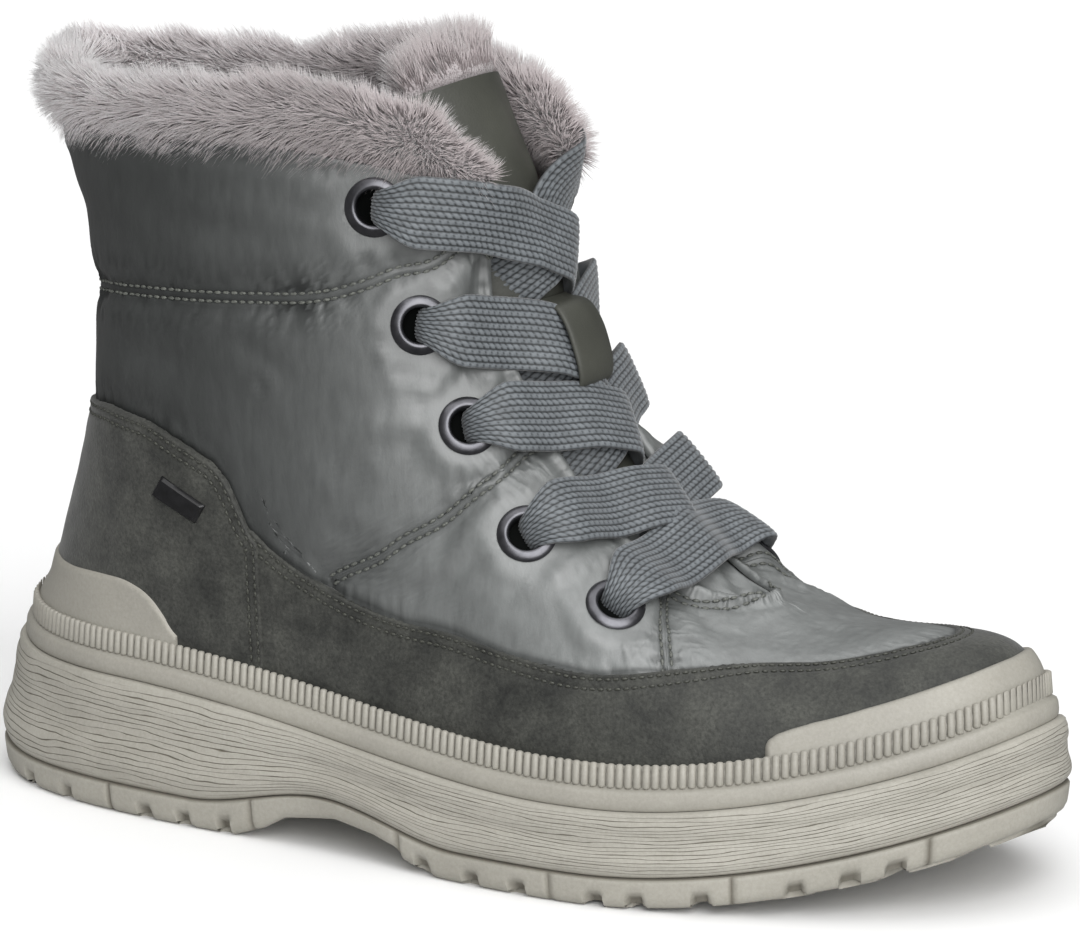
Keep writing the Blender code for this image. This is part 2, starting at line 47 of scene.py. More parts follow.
# form of the boot
boot = {
    "middle": (148.15, -1.63, 0.0),   # middle of the boot in plan, which is the origin here
    "footLength": 288.0, "gap": 0.3, "outsoleThickness": 7.5,
    "toeSpringStart": 197.0, "toeSpringHeight": 18.0, "heelTuckEnd": 35.0, "heelTuckHeight": 3.0,
    "archRise": 6.3, "midsoleHeel": 25.6, "midsoleFore": 14.84, "bandHeight": 10.3,
    "sideInset": 3.4, "sideInsetHeel": 6.9, "lastInset": 5.4,
    "wallThickness": 5.4, "edgeThickness": 4.0, "centreDrift": 4.5,
}
soleOutline = [
    # x, y
    (7.5, 0), (17, -25), (52, -43), (112, -49), (164, -55), (205, -55), (248, -41), (281, -17),
    (288.5, 9), (274, 36), (235, 51), (190, 51), (120, 37), (52, 40), (17, 25)]
archProfile = [
    # x, height
    (98, 0), (107, 3.2), (113, 6.6), (128, 8.8), (140, 7.0), (147, 5.0), (149, 2.6), (156, 0.4), (160, 0)]
topLine = [
    # around, x, y, z
    (0.000, 27.5, 0, 166), (0.050, 33.5, -20, 165), (0.100, 49, -33.5, 164), (0.138, 72, -40, 164),
    (0.175, 98, -41, 165), (0.213, 125, -37.5, 163), (0.243, 145, -28, 158), (0.265, 153, -20, 150),
    (0.288, 153, -18.5, 131), (0.310, 161, -18, 111), (0.337, 174, -17, 91), (0.370, 188, -15.5, 76),
    (0.420, 204, -11, 66), (0.500, 217, 0, 64.5)]
meridians = [
    # around, rise, flare, lean, drop, spread, reach
    (0.00, 46, 0, 11, 52, 0, 37), (0.05, 44, 1, 8, 52, 1, 29), (0.10, 44, 2, 3, 49, 2, 15),
    (0.15, 45, 3, 0, 46, 3, 2), (0.20, 45, 2, 0, 38, 5, -2), (0.24, 43, 1, -1, 26, 8, -8),
    (0.265, 40, 0, -3, 18, 9, -12), (0.29, 36, 1, -3, 10, 11, -12), (0.33, 31, 0, 0, 6, 15, -7),
    (0.37, 27, 1, 0, 8, 16, -3), (0.41, 25, 2, 0, 14, 15, 0), (0.45, 30, 4, 0, 18, 14, 0),
    (0.50, 35, 7, 0, 19, 14, 0)]
counterEdge = [
    # around, height
    (0.000, 94), (0.060, 97), (0.100, 98), (0.132, 96.5), (0.151, 92), (0.166, 88), (0.174, 80),
    (0.179, 70)]
guardEdge = [
    # around, share of the meridian
    (0.176, 0.325), (0.183, 0.300), (0.206, 0.250), (0.244, 0.228), (0.301, 0.270), (0.336, 0.317),
    (0.385, 0.467), (0.417, 0.557), (0.450, 0.519), (0.481, 0.448), (0.500, 0.420)]
heelBumperEdge = [
    # around, height above the band
    (0.000, 10.5), (0.050, 11.5), (0.096, 13), (0.116, 13.5), (0.128, 11.5), (0.136, 7.5), (0.143, 1.5)]
tongueLine = [
    # x, z, half width, radius
    (221, 53.5, 9, 18), (213, 58, 12, 18), (204, 63.5, 14, 17), (194, 72.5, 17, 18), (184.5, 81.5, 19, 19),
    (175.5, 92, 21, 19), (168.5, 102.5, 22, 19), (162, 116, 22, 19), (158, 130, 22, 19), (154, 145, 22, 20),
    (148.5, 159, 23, 22), (143, 170.5, 24, 24), (139, 179, 24, 25)]
eyeletPlaces = [
    # around, share of the meridian
    (0.225, 0.909), (0.248, 0.695), (0.293, 0.656), (0.318, 0.571), (0.355, 0.578)]


def smooth(t):
    t = np.clip(t, 0.0, 1.0)
    return t * t * (3 - 2 * t)


def bell(distance, width):
    return np.exp(-(distance / width) ** 2)


def roundOff(distance, radius):
    # rise of a rounded edge, from 0 on the edge to 1 at the radius
    return np.sqrt(np.clip(1 - (1 - np.clip(distance / radius, 0, 1)) ** 2, 0, 1))


def unit(vectors):
    vectors = np.asarray(vectors, float)
    return vectors / np.maximum(np.linalg.norm(vectors, axis=-1, keepdims=True), 1e-9)


def runOf(points):
    # length along a line of points
    return np.concatenate([[0.0], np.cumsum(np.linalg.norm(np.diff(points, axis=0), axis=1))])


def columnsAt(at, knots, table):
    return np.stack([np.interp(at, knots, column) for column in np.asarray(table, float).T], axis=1)


def matched(*values):
    # arrays of one length from arrays and single numbers
    return [np.array(v, float) for v in np.broadcast_arrays(*[np.atleast_1d(v) for v in values])]


def spline(knots, values, at, period=None):
    # natural cubic spline, closed by repeating its knots on both sides when it has a period
    k = np.array(knots, float)
    v = np.array(values, float).reshape(len(k), -1)
    at = np.array(at, float)
    if period:
        at = k[0] + (at - k[0]) % period
        k = np.concatenate([k - period, k, k + period])
        v = np.tile(v, (3, 1))
    step = np.diff(k)
    slope = np.diff(v, axis=0) / step[:, None]
    system = np.eye(len(k))
    right = np.zeros_like(v)
    for i in range(1, len(k) - 1):
        system[i, i - 1:i + 2] = step[i - 1], 2 * (step[i - 1] + step[i]), step[i]
        right[i] = 6 * (slope[i] - slope[i - 1])
    bend = np.linalg.solve(system, right)
    i = np.clip(np.searchsorted(k, at, side="right") - 1, 0, len(k) - 2)
    s = step[i][:, None]
    t = (at - k[i])[:, None]
    return (v[i] + t * (slope[i] - s * (2 * bend[i] + bend[i + 1]) / 6) + t * t * bend[i] / 2
            + t ** 3 * (bend[i + 1] - bend[i]) / (6 * s))


def halfTable(rows, around, flip=None):
    # a table for the outer half, mirrored to the inner half and read as a closed spline
    rows = np.array(rows, float)
    back = rows[-2:0:-1].copy()
    back[:, 0] = 1 - back[:, 0]
    if flip is not None:
        back[:, flip] *= -1
    both = np.concatenate([rows, back])
    return spline(both[:, 0], both[:, 1:], around, 1.0)


def fromHeel(around):
    # distance round the boot from the back of the heel, the same on both sides
    return np.abs((np.array(around, float) + 0.5) % 1 - 0.5)


def edgeTable(rows, around):
    rows = np.array(rows, float)
    return np.interp(fromHeel(around), rows[:, 0], rows[:, 1])


def softEdgeTable(rows, around, blur=0.004):
    # the same table with its corners rounded off
    return np.mean([edgeTable(rows, fromHeel(around) + s) for s in np.linspace(-blur, blur, 7)], axis=0)


def closedCurve(knots, count, chordPower=1.0, finer=1):
    # smooth closed loop through a few places
    knots = np.array(knots, float)
    chord = np.linalg.norm(np.roll(knots, -1, axis=0) - knots, axis=1) ** chordPower
    at = np.concatenate([[0], np.cumsum(chord)])
    return spline(at[:-1], knots, np.linspace(0, at[-1], finer * count, endpoint=False), at[-1])


def evenOutline(count=1440):
    fine = closedCurve(soleOutline, count, 0.5, 4)
    ring = np.concatenate([fine, fine[:1]])
    walked = runOf(ring)
    return columnsAt(np.linspace(0, walked[-1], count, endpoint=False), walked, ring)


outline = evenOutline()
outlineLength = float(np.linalg.norm(np.roll(outline, -1, axis=0) - outline, axis=1).sum())


def soleEdge(around, inset=0.0):
    # point of the sole's outline in plan, moved inwards, and its outward direction
    n = len(outline)
    place = (np.array(around, float) % 1) * n
    i = place.astype(int)
    w = (place - i)[:, None]
    run = np.roll(outline, -4, axis=0) - np.roll(outline, 4, axis=0)
    point = outline[i % n] * (1 - w) + outline[(i + 1) % n] * w
    along = unit(run[i % n] * (1 - w) + run[(i + 1) % n] * w)
    out = np.stack([along[:, 1], -along[:, 0]], axis=1)
    return point - out * np.broadcast_to(inset, len(point))[:, None], out


def soleLoop(around, inset, height):
    # points round the sole at an inset and a height for each station
    return np.column_stack([soleEdge(around, inset)[0], np.broadcast_to(height, len(around))])


def soleX(around):
    return soleEdge(around)[0][:, 0]


def groundLift(x):
    toe = np.clip((x - boot["toeSpringStart"]) / (boot["footLength"] - boot["toeSpringStart"]), 0, None)
    heel = np.clip((boot["heelTuckEnd"] - x) / boot["heelTuckEnd"], 0, None)
    return boot["toeSpringHeight"] * toe ** 2 + boot["heelTuckHeight"] * heel ** 2


def seamHeight(x):
    arch = smooth((x - 85) / 40) * smooth((165 - x) / 40)
    return boot["outsoleThickness"] + groundLift(x) + boot["archRise"] * arch


def undersideHeight(x):
    rows = np.array(archProfile, float)
    return groundLift(x) + np.interp(x, rows[:, 0], rows[:, 1])


def footbedHeight(x):
    slope = smooth((x - 60) / 130)
    rise = boot["midsoleHeel"] + (boot["midsoleFore"] - boot["midsoleHeel"]) * slope
    return boot["outsoleThickness"] + groundLift(x) + rise


def wallInset(x):
    return boot["sideInset"] + (boot["sideInsetHeel"] - boot["sideInset"]) * smooth((60 - x) / 60)


def skin(around, share):
    # outer face of the upper
    x = soleX(around)
    foot, out = soleEdge(around, wallInset(x) + boot["lastInset"])
    foot = np.column_stack([foot, footbedHeight(x) + boot["gap"]])
    out = np.column_stack([out, np.zeros(len(out))])
    top = halfTable(topLine, around, flip=2)
    top[:, 1] += boot["centreDrift"] * (top[:, 0] / boot["footLength"]) ** 2
    rise, flare, lean, drop, spread, reach = np.split(halfTable(meridians, around), 6, axis=1)
    up = np.array([0.0, 0.0, 1.0])
    forward = np.array([1.0, 0.0, 0.0])
    low = foot + up * rise + out * flare + forward * lean
    high = top - up * drop + out * spread + forward * reach
    t = share[:, None]
    return (1 - t) ** 3 * foot + 3 * (1 - t) ** 2 * t * low + 3 * (1 - t) * t * t * high + t ** 3 * top


def skinFrame(around, share):
    # point on the outer face with its outward normal and its upward direction
    around, share = matched(around, share)
    d = 0.004
    across = skin(around + d, share) - skin(around - d, share)
    up = skin(around, np.clip(share + d, 0, 1)) - skin(around, np.clip(share - d, 0, 1))
    return skin(around, share), unit(np.cross(across, up)), unit(up)


def wall(around, share, offset=0.0):
    point, out, _ = skinFrame(around, share)
    return point + out * np.broadcast_to(offset, len(point))[:, None]


def wallDepth(share):
    edge = np.maximum(smooth((share - 0.55) / 0.4), smooth(1 - share / 0.16))
    return boot["wallThickness"] + (boot["edgeThickness"] - boot["wallThickness"]) * edge


def shareAt(around, height):
    # share of each meridian where the outer face reaches a height
    steps = np.linspace(0, 0.7, 71)
    around, height = matched(around, height)
    heights = skin(np.repeat(around, len(steps)), np.tile(steps, len(around)))[:, 2]
    heights = np.maximum.accumulate(heights.reshape(len(around), -1), axis=1)
    return np.array([np.interp(z, row, steps) for z, row in zip(height, heights)])


def bandTop(around):
    return footbedHeight(soleX(around)) + boot["bandHeight"]


def tongueFace(along, across, offset=0.0):
    # tongue: along runs from the vamp, 0, to the top, 1; across is a distance from the middle
    along, across, offset = matched(along, across, offset)
    knots = np.linspace(0, 1, len(tongueLine))
    x, z, _, radius = spline(knots, tongueLine, along).T
    d = 0.01
    ahead = spline(knots, tongueLine, np.clip(along + d, 0, 1))[:, :2]
    behind = spline(knots, tongueLine, np.clip(along - d, 0, 1))[:, :2]
    run = unit(ahead - behind)
    out = np.column_stack([run[:, 1], np.zeros(len(x)), -run[:, 0]])
    up = np.column_stack([run[:, 0], np.zeros(len(x)), run[:, 1]])
    angle = across / radius
    middle = np.column_stack([x, boot["centreDrift"] * (x / boot["footLength"]) ** 2, z])
    reach = radius + offset
    point = middle + np.array([0.0, 1.0, 0.0]) * (reach * np.sin(angle))[:, None]
    point += out * (reach * np.cos(angle) - radius)[:, None]
    return point, out, up


def latticeNoise(coords, seed):
    # smooth noise from -1 to 1, with one lattice step to each unit of the coordinates
    if isinstance(coords, list):
        coords = np.column_stack(matched(*coords))
    table = np.random.default_rng(seed).uniform(-1, 1, 4096)
    base = np.floor(coords).astype(np.int64)
    part = coords - base
    part = part * part * (3 - 2 * part)
    primes = np.array([73856093, 19349663, 83492791])[:coords.shape[1]]
    total = np.zeros(len(coords))
    for corner in np.ndindex(*(2,) * coords.shape[1]):
        weight = np.prod(np.where(np.array(corner) == 1, part, 1 - part), axis=1)
        keys = (base + np.array(corner)) * primes
        total += weight * table[np.bitwise_xor.reduce(keys, axis=1) & 4095]
    return total


# paths on the upper
def describePath(around, share):
    point, out, _ = skinFrame(around, share)
    return {"around": around, "share": share, "point": point, "out": out,
            "along": unit(np.gradient(point, axis=0)), "run": runOf(point)}


def surfacePath(rows, spacing=0.5, rounded=True):
    # smooth path through places on the upper, in even steps
    rows = np.array(rows, float)
    knots = runOf(skin(rows[:, 0], np.clip(rows[:, 1], 0, 1)))
    at = np.linspace(0, knots[-1], 900)
    fine = spline(knots, rows, at) if rounded else columnsAt(at, knots, rows)
    run = runOf(skin(fine[:, 0], np.clip(fine[:, 1], 0, 1)))
    even = np.linspace(0, run[-1], max(3, int(run[-1] / spacing) + 1))
    around, share = columnsAt(even, run, fine).T
    return describePath(around, np.clip(share, 0, 1))


def offsetPath(path, distance):
    # the path moved sideways over the surface, towards its right when it is seen from outside
    around, share = path["around"], path["share"]
    side = np.cross(path["along"], path["out"]) * distance
    d = 0.003
    low, high = np.clip(share - d, 0, 1), np.clip(share + d, 0, 1)
    across = (skin(around + d, share) - skin(around - d, share)) / (2 * d)
    up = (skin(around, high) - skin(around, low)) / (high - low)[:, None]
    moves = np.array([np.linalg.lstsq(np.column_stack([a, u]), s, rcond=None)[0]
                      for a, u, s in zip(across, up, side)])
    return describePath(around + moves[:, 0], np.clip(share + moves[:, 1], 0, 1))


def besidePath(path, points):
    # distance of each point from a path and the length run to it
    centre = path["point"]
    near = np.empty(len(points), int)
    squares = (centre ** 2).sum(axis=1)
    for start in range(0, len(points), 20000):
        part = points[start:start + 20000]
        near[start:start + 20000] = np.argmin(squares - 2 * part @ centre.T, axis=1)
    return np.linalg.norm(points - centre[near], axis=1), path["run"][near]


def mirrored(rows):
    return [(1 - row[0], *row[1:]) for row in rows]


# meshes
def newMesh(name, points, edges, faces, values=None):
    # mesh from points in the boot's millimetres, with named numbers on its points
    mesh = bpy.data.meshes.new(name)
    mesh.from_pydata(((np.asarray(points, float) - np.array(boot["middle"])) * 0.001).tolist(), edges, faces)
    for key, numbers in (values or {}).items():
        numbers = np.asarray(numbers, np.float32)
        isVector = numbers.ndim == 2
        layer = mesh.attributes.new(key, "FLOAT_VECTOR" if isVector else "FLOAT", "POINT")
        layer.data.foreach_set("vector" if isVector else "value", numbers.ravel())
    return mesh


def addObject(name, data):
    thing = bpy.data.objects.new(name, data)
    bpy.context.scene.collection.objects.link(thing)
    return thing


def loft(loops, ring=False, capped=True):
    # skin over closed loops; a ring joins its last loop to its first
    loops = np.asarray(loops, float)
    count, size = loops.shape[:2]
    index = np.arange(count * size).reshape(count, size)
    a = index if ring else index[:-1]
    b = np.roll(index, -1, axis=0) if ring else index[1:]
    quads = np.stack([a, np.roll(a, -1, axis=1), np.roll(b, -1, axis=1), b], axis=-1)
    faces = quads.reshape(-1, 4).tolist()
    if capped and not ring:
        faces += [index[0].tolist(), index[-1][::-1].tolist()]
    return loops.reshape(-1, 3), faces


def settle(piece, slotName, *nodes):
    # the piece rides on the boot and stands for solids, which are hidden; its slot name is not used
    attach(piece, "root")
    if nodes:
        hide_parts(*nodes)
    return piece


def makePiece(name, shape, material, slotName, node, values=None, sharpAngle=None):
    # closed piece from points and faces, turned outwards, with named numbers on its points
    mesh = newMesh(name, shape[0], [], shape[1], values)
    work = bmesh.new()
    work.from_mesh(mesh)
    bmesh.ops.recalc_face_normals(work, faces=work.faces)
    if work.calc_volume(signed=True) < 0:
        bmesh.ops.reverse_faces(work, faces=work.faces)
    work.to_mesh(mesh)
    work.free()
    mesh.shade_smooth()
    if sharpAngle:
        mesh.set_sharp_from_angle(angle=math.radians(sharpAngle))
    mesh.materials.append(material)
    piece = addObject(name, mesh)
    return settle(piece, slotName, node)


# node trees
def feed(tree, node, inputs):
    # an input takes a value, an output or the first output in use of another node
    for key, value in inputs.items():
        if isinstance(value, bpy.types.Node):
            value = next(socket for socket in value.outputs if socket.enabled)
        if isinstance(value, bpy.types.NodeSocket):
            tree.links.new(value, node.inputs[key])
        else:
            node.inputs[key].default_value = value


def addNode(tree, kind, inputs=None, stops=(), **settings):
    # one node, named without its prefix, with its settings and links; a colour ramp also takes stops
    prefixes = ("ShaderNode", "GeometryNode", "FunctionNode", "")
    made = tree.nodes.new(next(p for p in prefixes if hasattr(bpy.types, p + kind)) + kind)
    for key, value in settings.items():
        setattr(made, key, value)
    for k, (place, code) in enumerate(stops):
        ramp = made.color_ramp.elements
        stop = ramp[k] if k < 2 else ramp.new(place)
        stop.position = place
        stop.color = colour(code)
    feed(tree, made, inputs or {})
    return made


def newMaterial(name):
    material = bpy.data.materials.new(name)
    material.use_nodes = True
    return material, material.node_tree, material.node_tree.nodes["Principled BSDF"]


def colour(code):
    # sRGB hex to linear
    parts = [int(code[i:i + 2], 16) / 255 for i in (1, 3, 5)]
    return tuple(c / 12.92 if c <= 0.04045 else ((c + 0.055) / 1.055) ** 2.4 for c in parts) + (1.0,)


def placeOf(tree, scale=(1.0, 1.0, 1.0)):
    # the piece's own place in millimetres, stretched by a scale
    place = addNode(tree, "TexCoord").outputs["Object"]
    return addNode(tree, "Mapping", {0: place, "Scale": tuple(1000.0 * s for s in scale)})


def mottle(tree, place, size, low, high, detail=3.0, roughness=0.55):
    # cloudy colour whose patches are about that many millimetres across, with the noise behind it
    noise = addNode(tree, "TexNoise", {
        "Vector": place, "Scale": 1.0 / size, "Detail": detail, "Roughness": roughness})
    return addNode(tree, "ValToRGB", {"Fac": noise}, [(0.3, low), (0.7, high)]), noise


def relief(tree, shader, *layers):
    # layers of height in millimetres, one on top of the other
    inputs = {}
    for height, distance, strength in layers:
        inputs.update({"Height": height, "Distance": distance * 0.001, "Strength": strength})
        inputs["Normal"] = addNode(tree, "Bump", inputs)
    feed(tree, shader, {"Normal": inputs["Normal"]})


def tint(tree, shader, base, shade, amount=1.0):
    # the base colour darkened by a second pattern
    mix = addNode(tree, "Mix", {0: amount, 6: base, 7: shade}, data_type="RGBA", blend_type="MULTIPLY")
    feed(tree, shader, {"Base Color": mix})


# materials
def makeNylon():
    # polyamide taffeta, calendered: a soft satin gloss with cloudy shading and a very fine weave
    material, tree, shader = newMaterial("satinNylonTaffeta")
    place = placeOf(tree)
    # painted shade at the heel and painted light at the front, in the cloth's two colours
    heel, _ = mottle(tree, place, 26.0, "#272a29", "#323534")
    front, _ = mottle(tree, place, 18.0, "#686b6a", "#797c7b")
    # painted light and shade: lighter towards the toe, where the light falls, and darker towards the heel,
    # which lies in shade
    forward = addNode(tree, "SeparateXYZ", {0: place})
    paintedLightToToe = addNode(tree, "MapRange", {0: forward, 1: -74.0, 2: 42.0}, interpolation_type="SMOOTHSTEP")
    base = addNode(tree, "Mix", {0: paintedLightToToe, 6: heel, 7: front}, data_type="RGBA")
    shade, streaks = mottle(tree, placeOf(tree, (1.0, 1.0, 0.3)), 2.6, "#e2e2e2", "#ffffff", 4.0, 0.62)
    # painted shade: the cloth is darkened along its seams and stitch rows, in pinched gathers, beside the
    # leather and in the eyelet pits
    paintedShade = addNode(tree, "Attribute", attribute_name="paintedShade").outputs["Fac"]
    streaksAndPaintedShade = addNode(tree, "Mix", {0: paintedShade, 6: shade, 7: colour("#303130")}, data_type="RGBA")
    tint(tree, shader, base, streaksAndPaintedShade)
    # threads are 0.1 mm apart in the real cloth, and drawn at 0.5 mm so that they show
    _, threads = mottle(tree, place, 0.5, "#000000", "#ffffff", 2.0)
    # less gloss under the painted shade, and none where the cloth is tucked in
    feed(tree, shader, {
        "IOR": 1.53, "Coat Roughness": 0.5,
        "Roughness": addNode(tree, "MapRange", {0: streaks, 3: 0.44, 4: 0.58}),
        "Specular IOR Level": addNode(tree, "MapRange", {0: paintedShade, 3: 0.9, 4: 0.0}),
        "Coat Weight": addNode(tree, "MapRange", {0: paintedShade, 3: 0.5, 4: 0.0})})
    relief(tree, shader, (threads, 0.04, 0.5), (streaks, 0.3, 0.5))
    return material


def makeSplitLeather():
    # coated split leather with a brushed face: matt, cloudy, lighter where it is rubbed
    material, tree, shader = newMaterial("brushedSplitLeather")
    place = placeOf(tree)
    base, clouds = mottle(tree, place, 14.0, "#1e201d", "#4e4f49", 5.0, 0.68)
    shade, speckle = mottle(tree, place, 0.9, "#8e8e8a", "#ffffff", 3.0, 0.7)
    tint(tree, shader, base, shade, 0.9)
    feed(tree, shader, {
        "Roughness": addNode(tree, "MapRange", {0: clouds, 3: 0.58, 4: 0.76}),
        "Sheen Weight": 0.15, "Sheen Roughness": 0.5})
    grain = addNode(tree, "TexVoronoi", {"Vector": place, "Scale": 1.0 / 0.8})
    relief(tree, shader, (grain, 0.1, 0.5), (speckle, 0.2, 0.5))
    return material


def makeRubber(name, low, high, roughness, lined=False):
    # moulded rubber: matt and even, a little chalky, with a fine sanded texture; the wall has moulded lines
    material, tree, shader = newMaterial(name)
    place = placeOf(tree)
    base, _ = mottle(tree, place, 30.0, low, high)
    shade, speckle = mottle(tree, place, 0.9, "#eeeeec", "#ffffff", 3.0, 0.7)
    # painted shade: darker in the grooves, where less light reaches
    depth = addNode(tree, "Attribute", attribute_name="groove").outputs["Fac"]
    grooveShade = addNode(tree, "Mix", {0: depth, 6: shade, 7: colour("#8d877c")}, data_type="RGBA")
    feed(tree, shader, {"Roughness": roughness, "IOR": 1.5})
    layers = [(speckle, 0.08, 0.5)]
    if lined:
        # wandering fine cuts, about 1.5 mm apart up the wall, that come and go along it
        level = addNode(tree, "Attribute", attribute_name="level").outputs["Fac"]
        flat = addNode(tree, "SeparateXYZ", {0: place})
        lie = addNode(tree, "CombineXYZ", {0: flat.outputs["X"], 1: flat.outputs["Y"], 2: level})
        long = addNode(tree, "Mapping", {0: lie, "Scale": (0.035, 0.035, 0.16)})
        wander = addNode(tree, "TexNoise", {"Vector": long, "Scale": 1.0, "Detail": 3.0})
        push = addNode(tree, "Math", {0: wander, 1: 4.4, 2: level}, operation="MULTIPLY_ADD")
        turns = addNode(tree, "Math", {0: push, 1: 0.76}, operation="PINGPONG")
        patchy = addNode(tree, "Mapping", {0: lie, "Scale": (0.07, 0.07, 0.7)})
        worn = addNode(tree, "TexNoise", {"Vector": patchy, "Scale": 1.0, "Detail": 2.0})
        reach = addNode(tree, "MapRange", {0: worn, 1: 0.3, 2: 0.65, 3: 0.05, 4: 0.24})
        cut = addNode(tree, "MapRange", {0: turns, 1: 0.0, 2: reach, 3: 1.0, 4: 0.0},
                      interpolation_type="SMOOTHSTEP")
        where = addNode(tree, "Attribute", attribute_name="lined").outputs["Fac"]
        lines = addNode(tree, "Math", {0: cut, 1: where}, operation="MULTIPLY")
        grooveShade = addNode(tree, "Mix", {0: lines, 6: grooveShade, 7: colour("#908b80")}, data_type="RGBA")
        layers.append((lines, -0.3, 0.7))
    tint(tree, shader, base, grooveShade)
    relief(tree, shader, *layers)
    return material


def makePile(name, root, middle, tip):
    # acrylic pile: darker and browner at the roots, pale and silky at the tips
    material, tree, shader = newMaterial(name)
    along = addNode(tree, "Attribute", attribute_name="strandLength").outputs["Fac"]
    own = addNode(tree, "Attribute", attribute_name="strandTint").outputs["Fac"]
    base = addNode(tree, "ValToRGB", {"Fac": along}, [(0.1, root), (0.9, tip), (0.5, middle)])
    shade = addNode(tree, "Mix", {0: own, 6: colour("#cdc6c5"), 7: colour("#ffffff")}, data_type="RGBA")
    # painted light: the pile is lighter towards the heel, which the lamps leave in shade, and darker towards
    # the throat
    forward = addNode(tree, "SeparateXYZ", {0: placeOf(tree)})
    lean = addNode(tree, "MapRange", {0: forward, 1: -120.0, 2: -10.0})
    shade = addNode(tree, "Mix", {0: lean, 6: shade, 7: colour("#c6bfbe")}, data_type="RGBA")
    tint(tree, shader, base, shade)
    feed(tree, shader, {"Roughness": 0.6, "Sheen Weight": 0.6, "Sheen Roughness": 0.35})
    return material


def makeWebbing():
    # flat braided polyester: soft matt floats of yarn, with painted shade in the hollows between them
    material, tree, shader = newMaterial("braidedPolyester")
    height = addNode(tree, "Attribute", attribute_name="weave").outputs["Fac"]
    # painted shade: the yarn is darker the lower it lies in the weave
    base = addNode(tree, "ValToRGB", {"Fac": height}, [(0.05, "#26292b"), (0.75, "#707579")])
    shade, _ = mottle(tree, placeOf(tree), 4.0, "#dcdcdc", "#ffffff")
    tint(tree, shader, base, shade)
    feed(tree, shader, {"Roughness": 0.6, "Sheen Weight": 0.3, "Sheen Roughness": 0.4})
    # filaments of the yarn, drawn at 0.3 mm
    _, fibres = mottle(tree, placeOf(tree), 0.3, "#000000", "#ffffff", 2.0)
    relief(tree, shader, (fibres, 0.06, 0.6))
    return material


def makeClouded(name, size, low, high, inputs, detail=3.0, roughness=0.55, gloss=None, bump=None,
                pores=None):
    # even finish with faint clouds, that also change its gloss, lift its surface or lie over pores
    material, tree, shader = newMaterial(name)
    place = placeOf(tree)
    base, clouds = mottle(tree, place, size, low, high, detail, roughness)
    feed(tree, shader, {"Base Color": base, **inputs})
    if gloss:
        feed(tree, shader, {"Roughness": addNode(tree, "MapRange", {0: clouds, 3: gloss[0], 4: gloss[1]})})
    if bump:
        relief(tree, shader, (clouds, *bump))
    if pores:
        cells = addNode(tree, "TexVoronoi", {"Vector": place, "Scale": 1.0 / pores})
        relief(tree, shader, (cells, 0.08, 0.5))
    return material


ground = {"Roughness": 0.95, "Sheen Weight": 0.4, "Sheen Roughness": 0.5}
thread = {"Roughness": 0.5}
nylon = makeNylon()
leather = makeSplitLeather()
# finished grain leather: close, even, with a faint sheen and fine pores
grainLeather = makeClouded("finishedGrainLeather", 20.0, "#33342e", "#43443d", {"Roughness": 0.55},
                           pores=0.6)
wallRubber = makeRubber("mouldedWallRubber", "#9c9990", "#a9a69d", 0.62, True)
bandRubber = makeRubber("mouldedBandRubber", "#95928a", "#a09d94", 0.5)
treadRubber = makeRubber("mouldedTreadRubber", "#98958c", "#a4a198", 0.58)
furPile = makePile("acrylicPile", "#b9b2b3", "#e8e4e6", "#fcfafb")
# woven ground under the pile, seen only between the strands, and the short warm pile inside: dull, lumpy
furGround = makeClouded("pileGround", 1.6, "#958c8d", "#b3acad", ground, 4.0, 0.7, bump=(1.0, 0.9))
liningPile = makeClouded("warmLiningPile", 1.6, "#857c7a", "#aaa19f", ground, 4.0, 0.7, bump=(1.0, 0.9))
webbing = makeWebbing()
# brass with a gunmetal plating, polished: dark and mirror-like with soft smears
metal = makeClouded("gunmetalPlatedBrass", 3.0, "#56565a", "#6c6c70", {"Metallic": 1.0}, gloss=(0.26, 0.42))
# bonded polyester thread: twisted, with a dull shine
paleThread = makeClouded("paleSewingThread", 0.5, "#3c3e3b", "#6a6c66", thread, 2.0, bump=(0.1, 0.6))
darkThread = makeClouded("darkSewingThread", 0.5, "#2c2d28", "#4c4d46", thread, 2.0, bump=(0.1, 0.6))
# die-cast zinc plate under black lacquer: smooth, glossy, with faint wear
lacquer = makeClouded("blackLacqueredZinc", 1.8, "#101011", "#1b1b1d", {}, gloss=(0.24, 0.42))
# smooth matt paint: even, without a reflection
floorPaint = makeClouded("mattFloorPaint", 400.0, "#f6f6f6", "#f8f8f8", {"Roughness": 0.9})
print("materials:", len(bpy.data.materials))


# node-built repeats
def newTree(name, sizes):
    # geometry tree with a mesh, named sizes and a material going in
    tree = bpy.data.node_groups.new(name, "GeometryNodeTree")
    for label, kind, value in [("Geometry", "Geometry", None), *sizes, ("Material", "Material", None)]:
        socket = tree.interface.new_socket(label, in_out="INPUT", socket_type="NodeSocket" + kind)
        if value is not None:
            socket.default_value = value
    tree.interface.new_socket("Geometry", in_out="OUTPUT", socket_type="NodeSocketGeometry")
    return tree, addNode(tree, "NodeGroupInput")


def closeTree(tree, given, geometry):
    solid = addNode(tree, "RealizeInstances", {0: geometry})
    painted = addNode(tree, "SetMaterial", {0: solid, "Material": given.outputs["Material"]})
    addNode(tree, "NodeGroupOutput", {0: painted})
    return tree


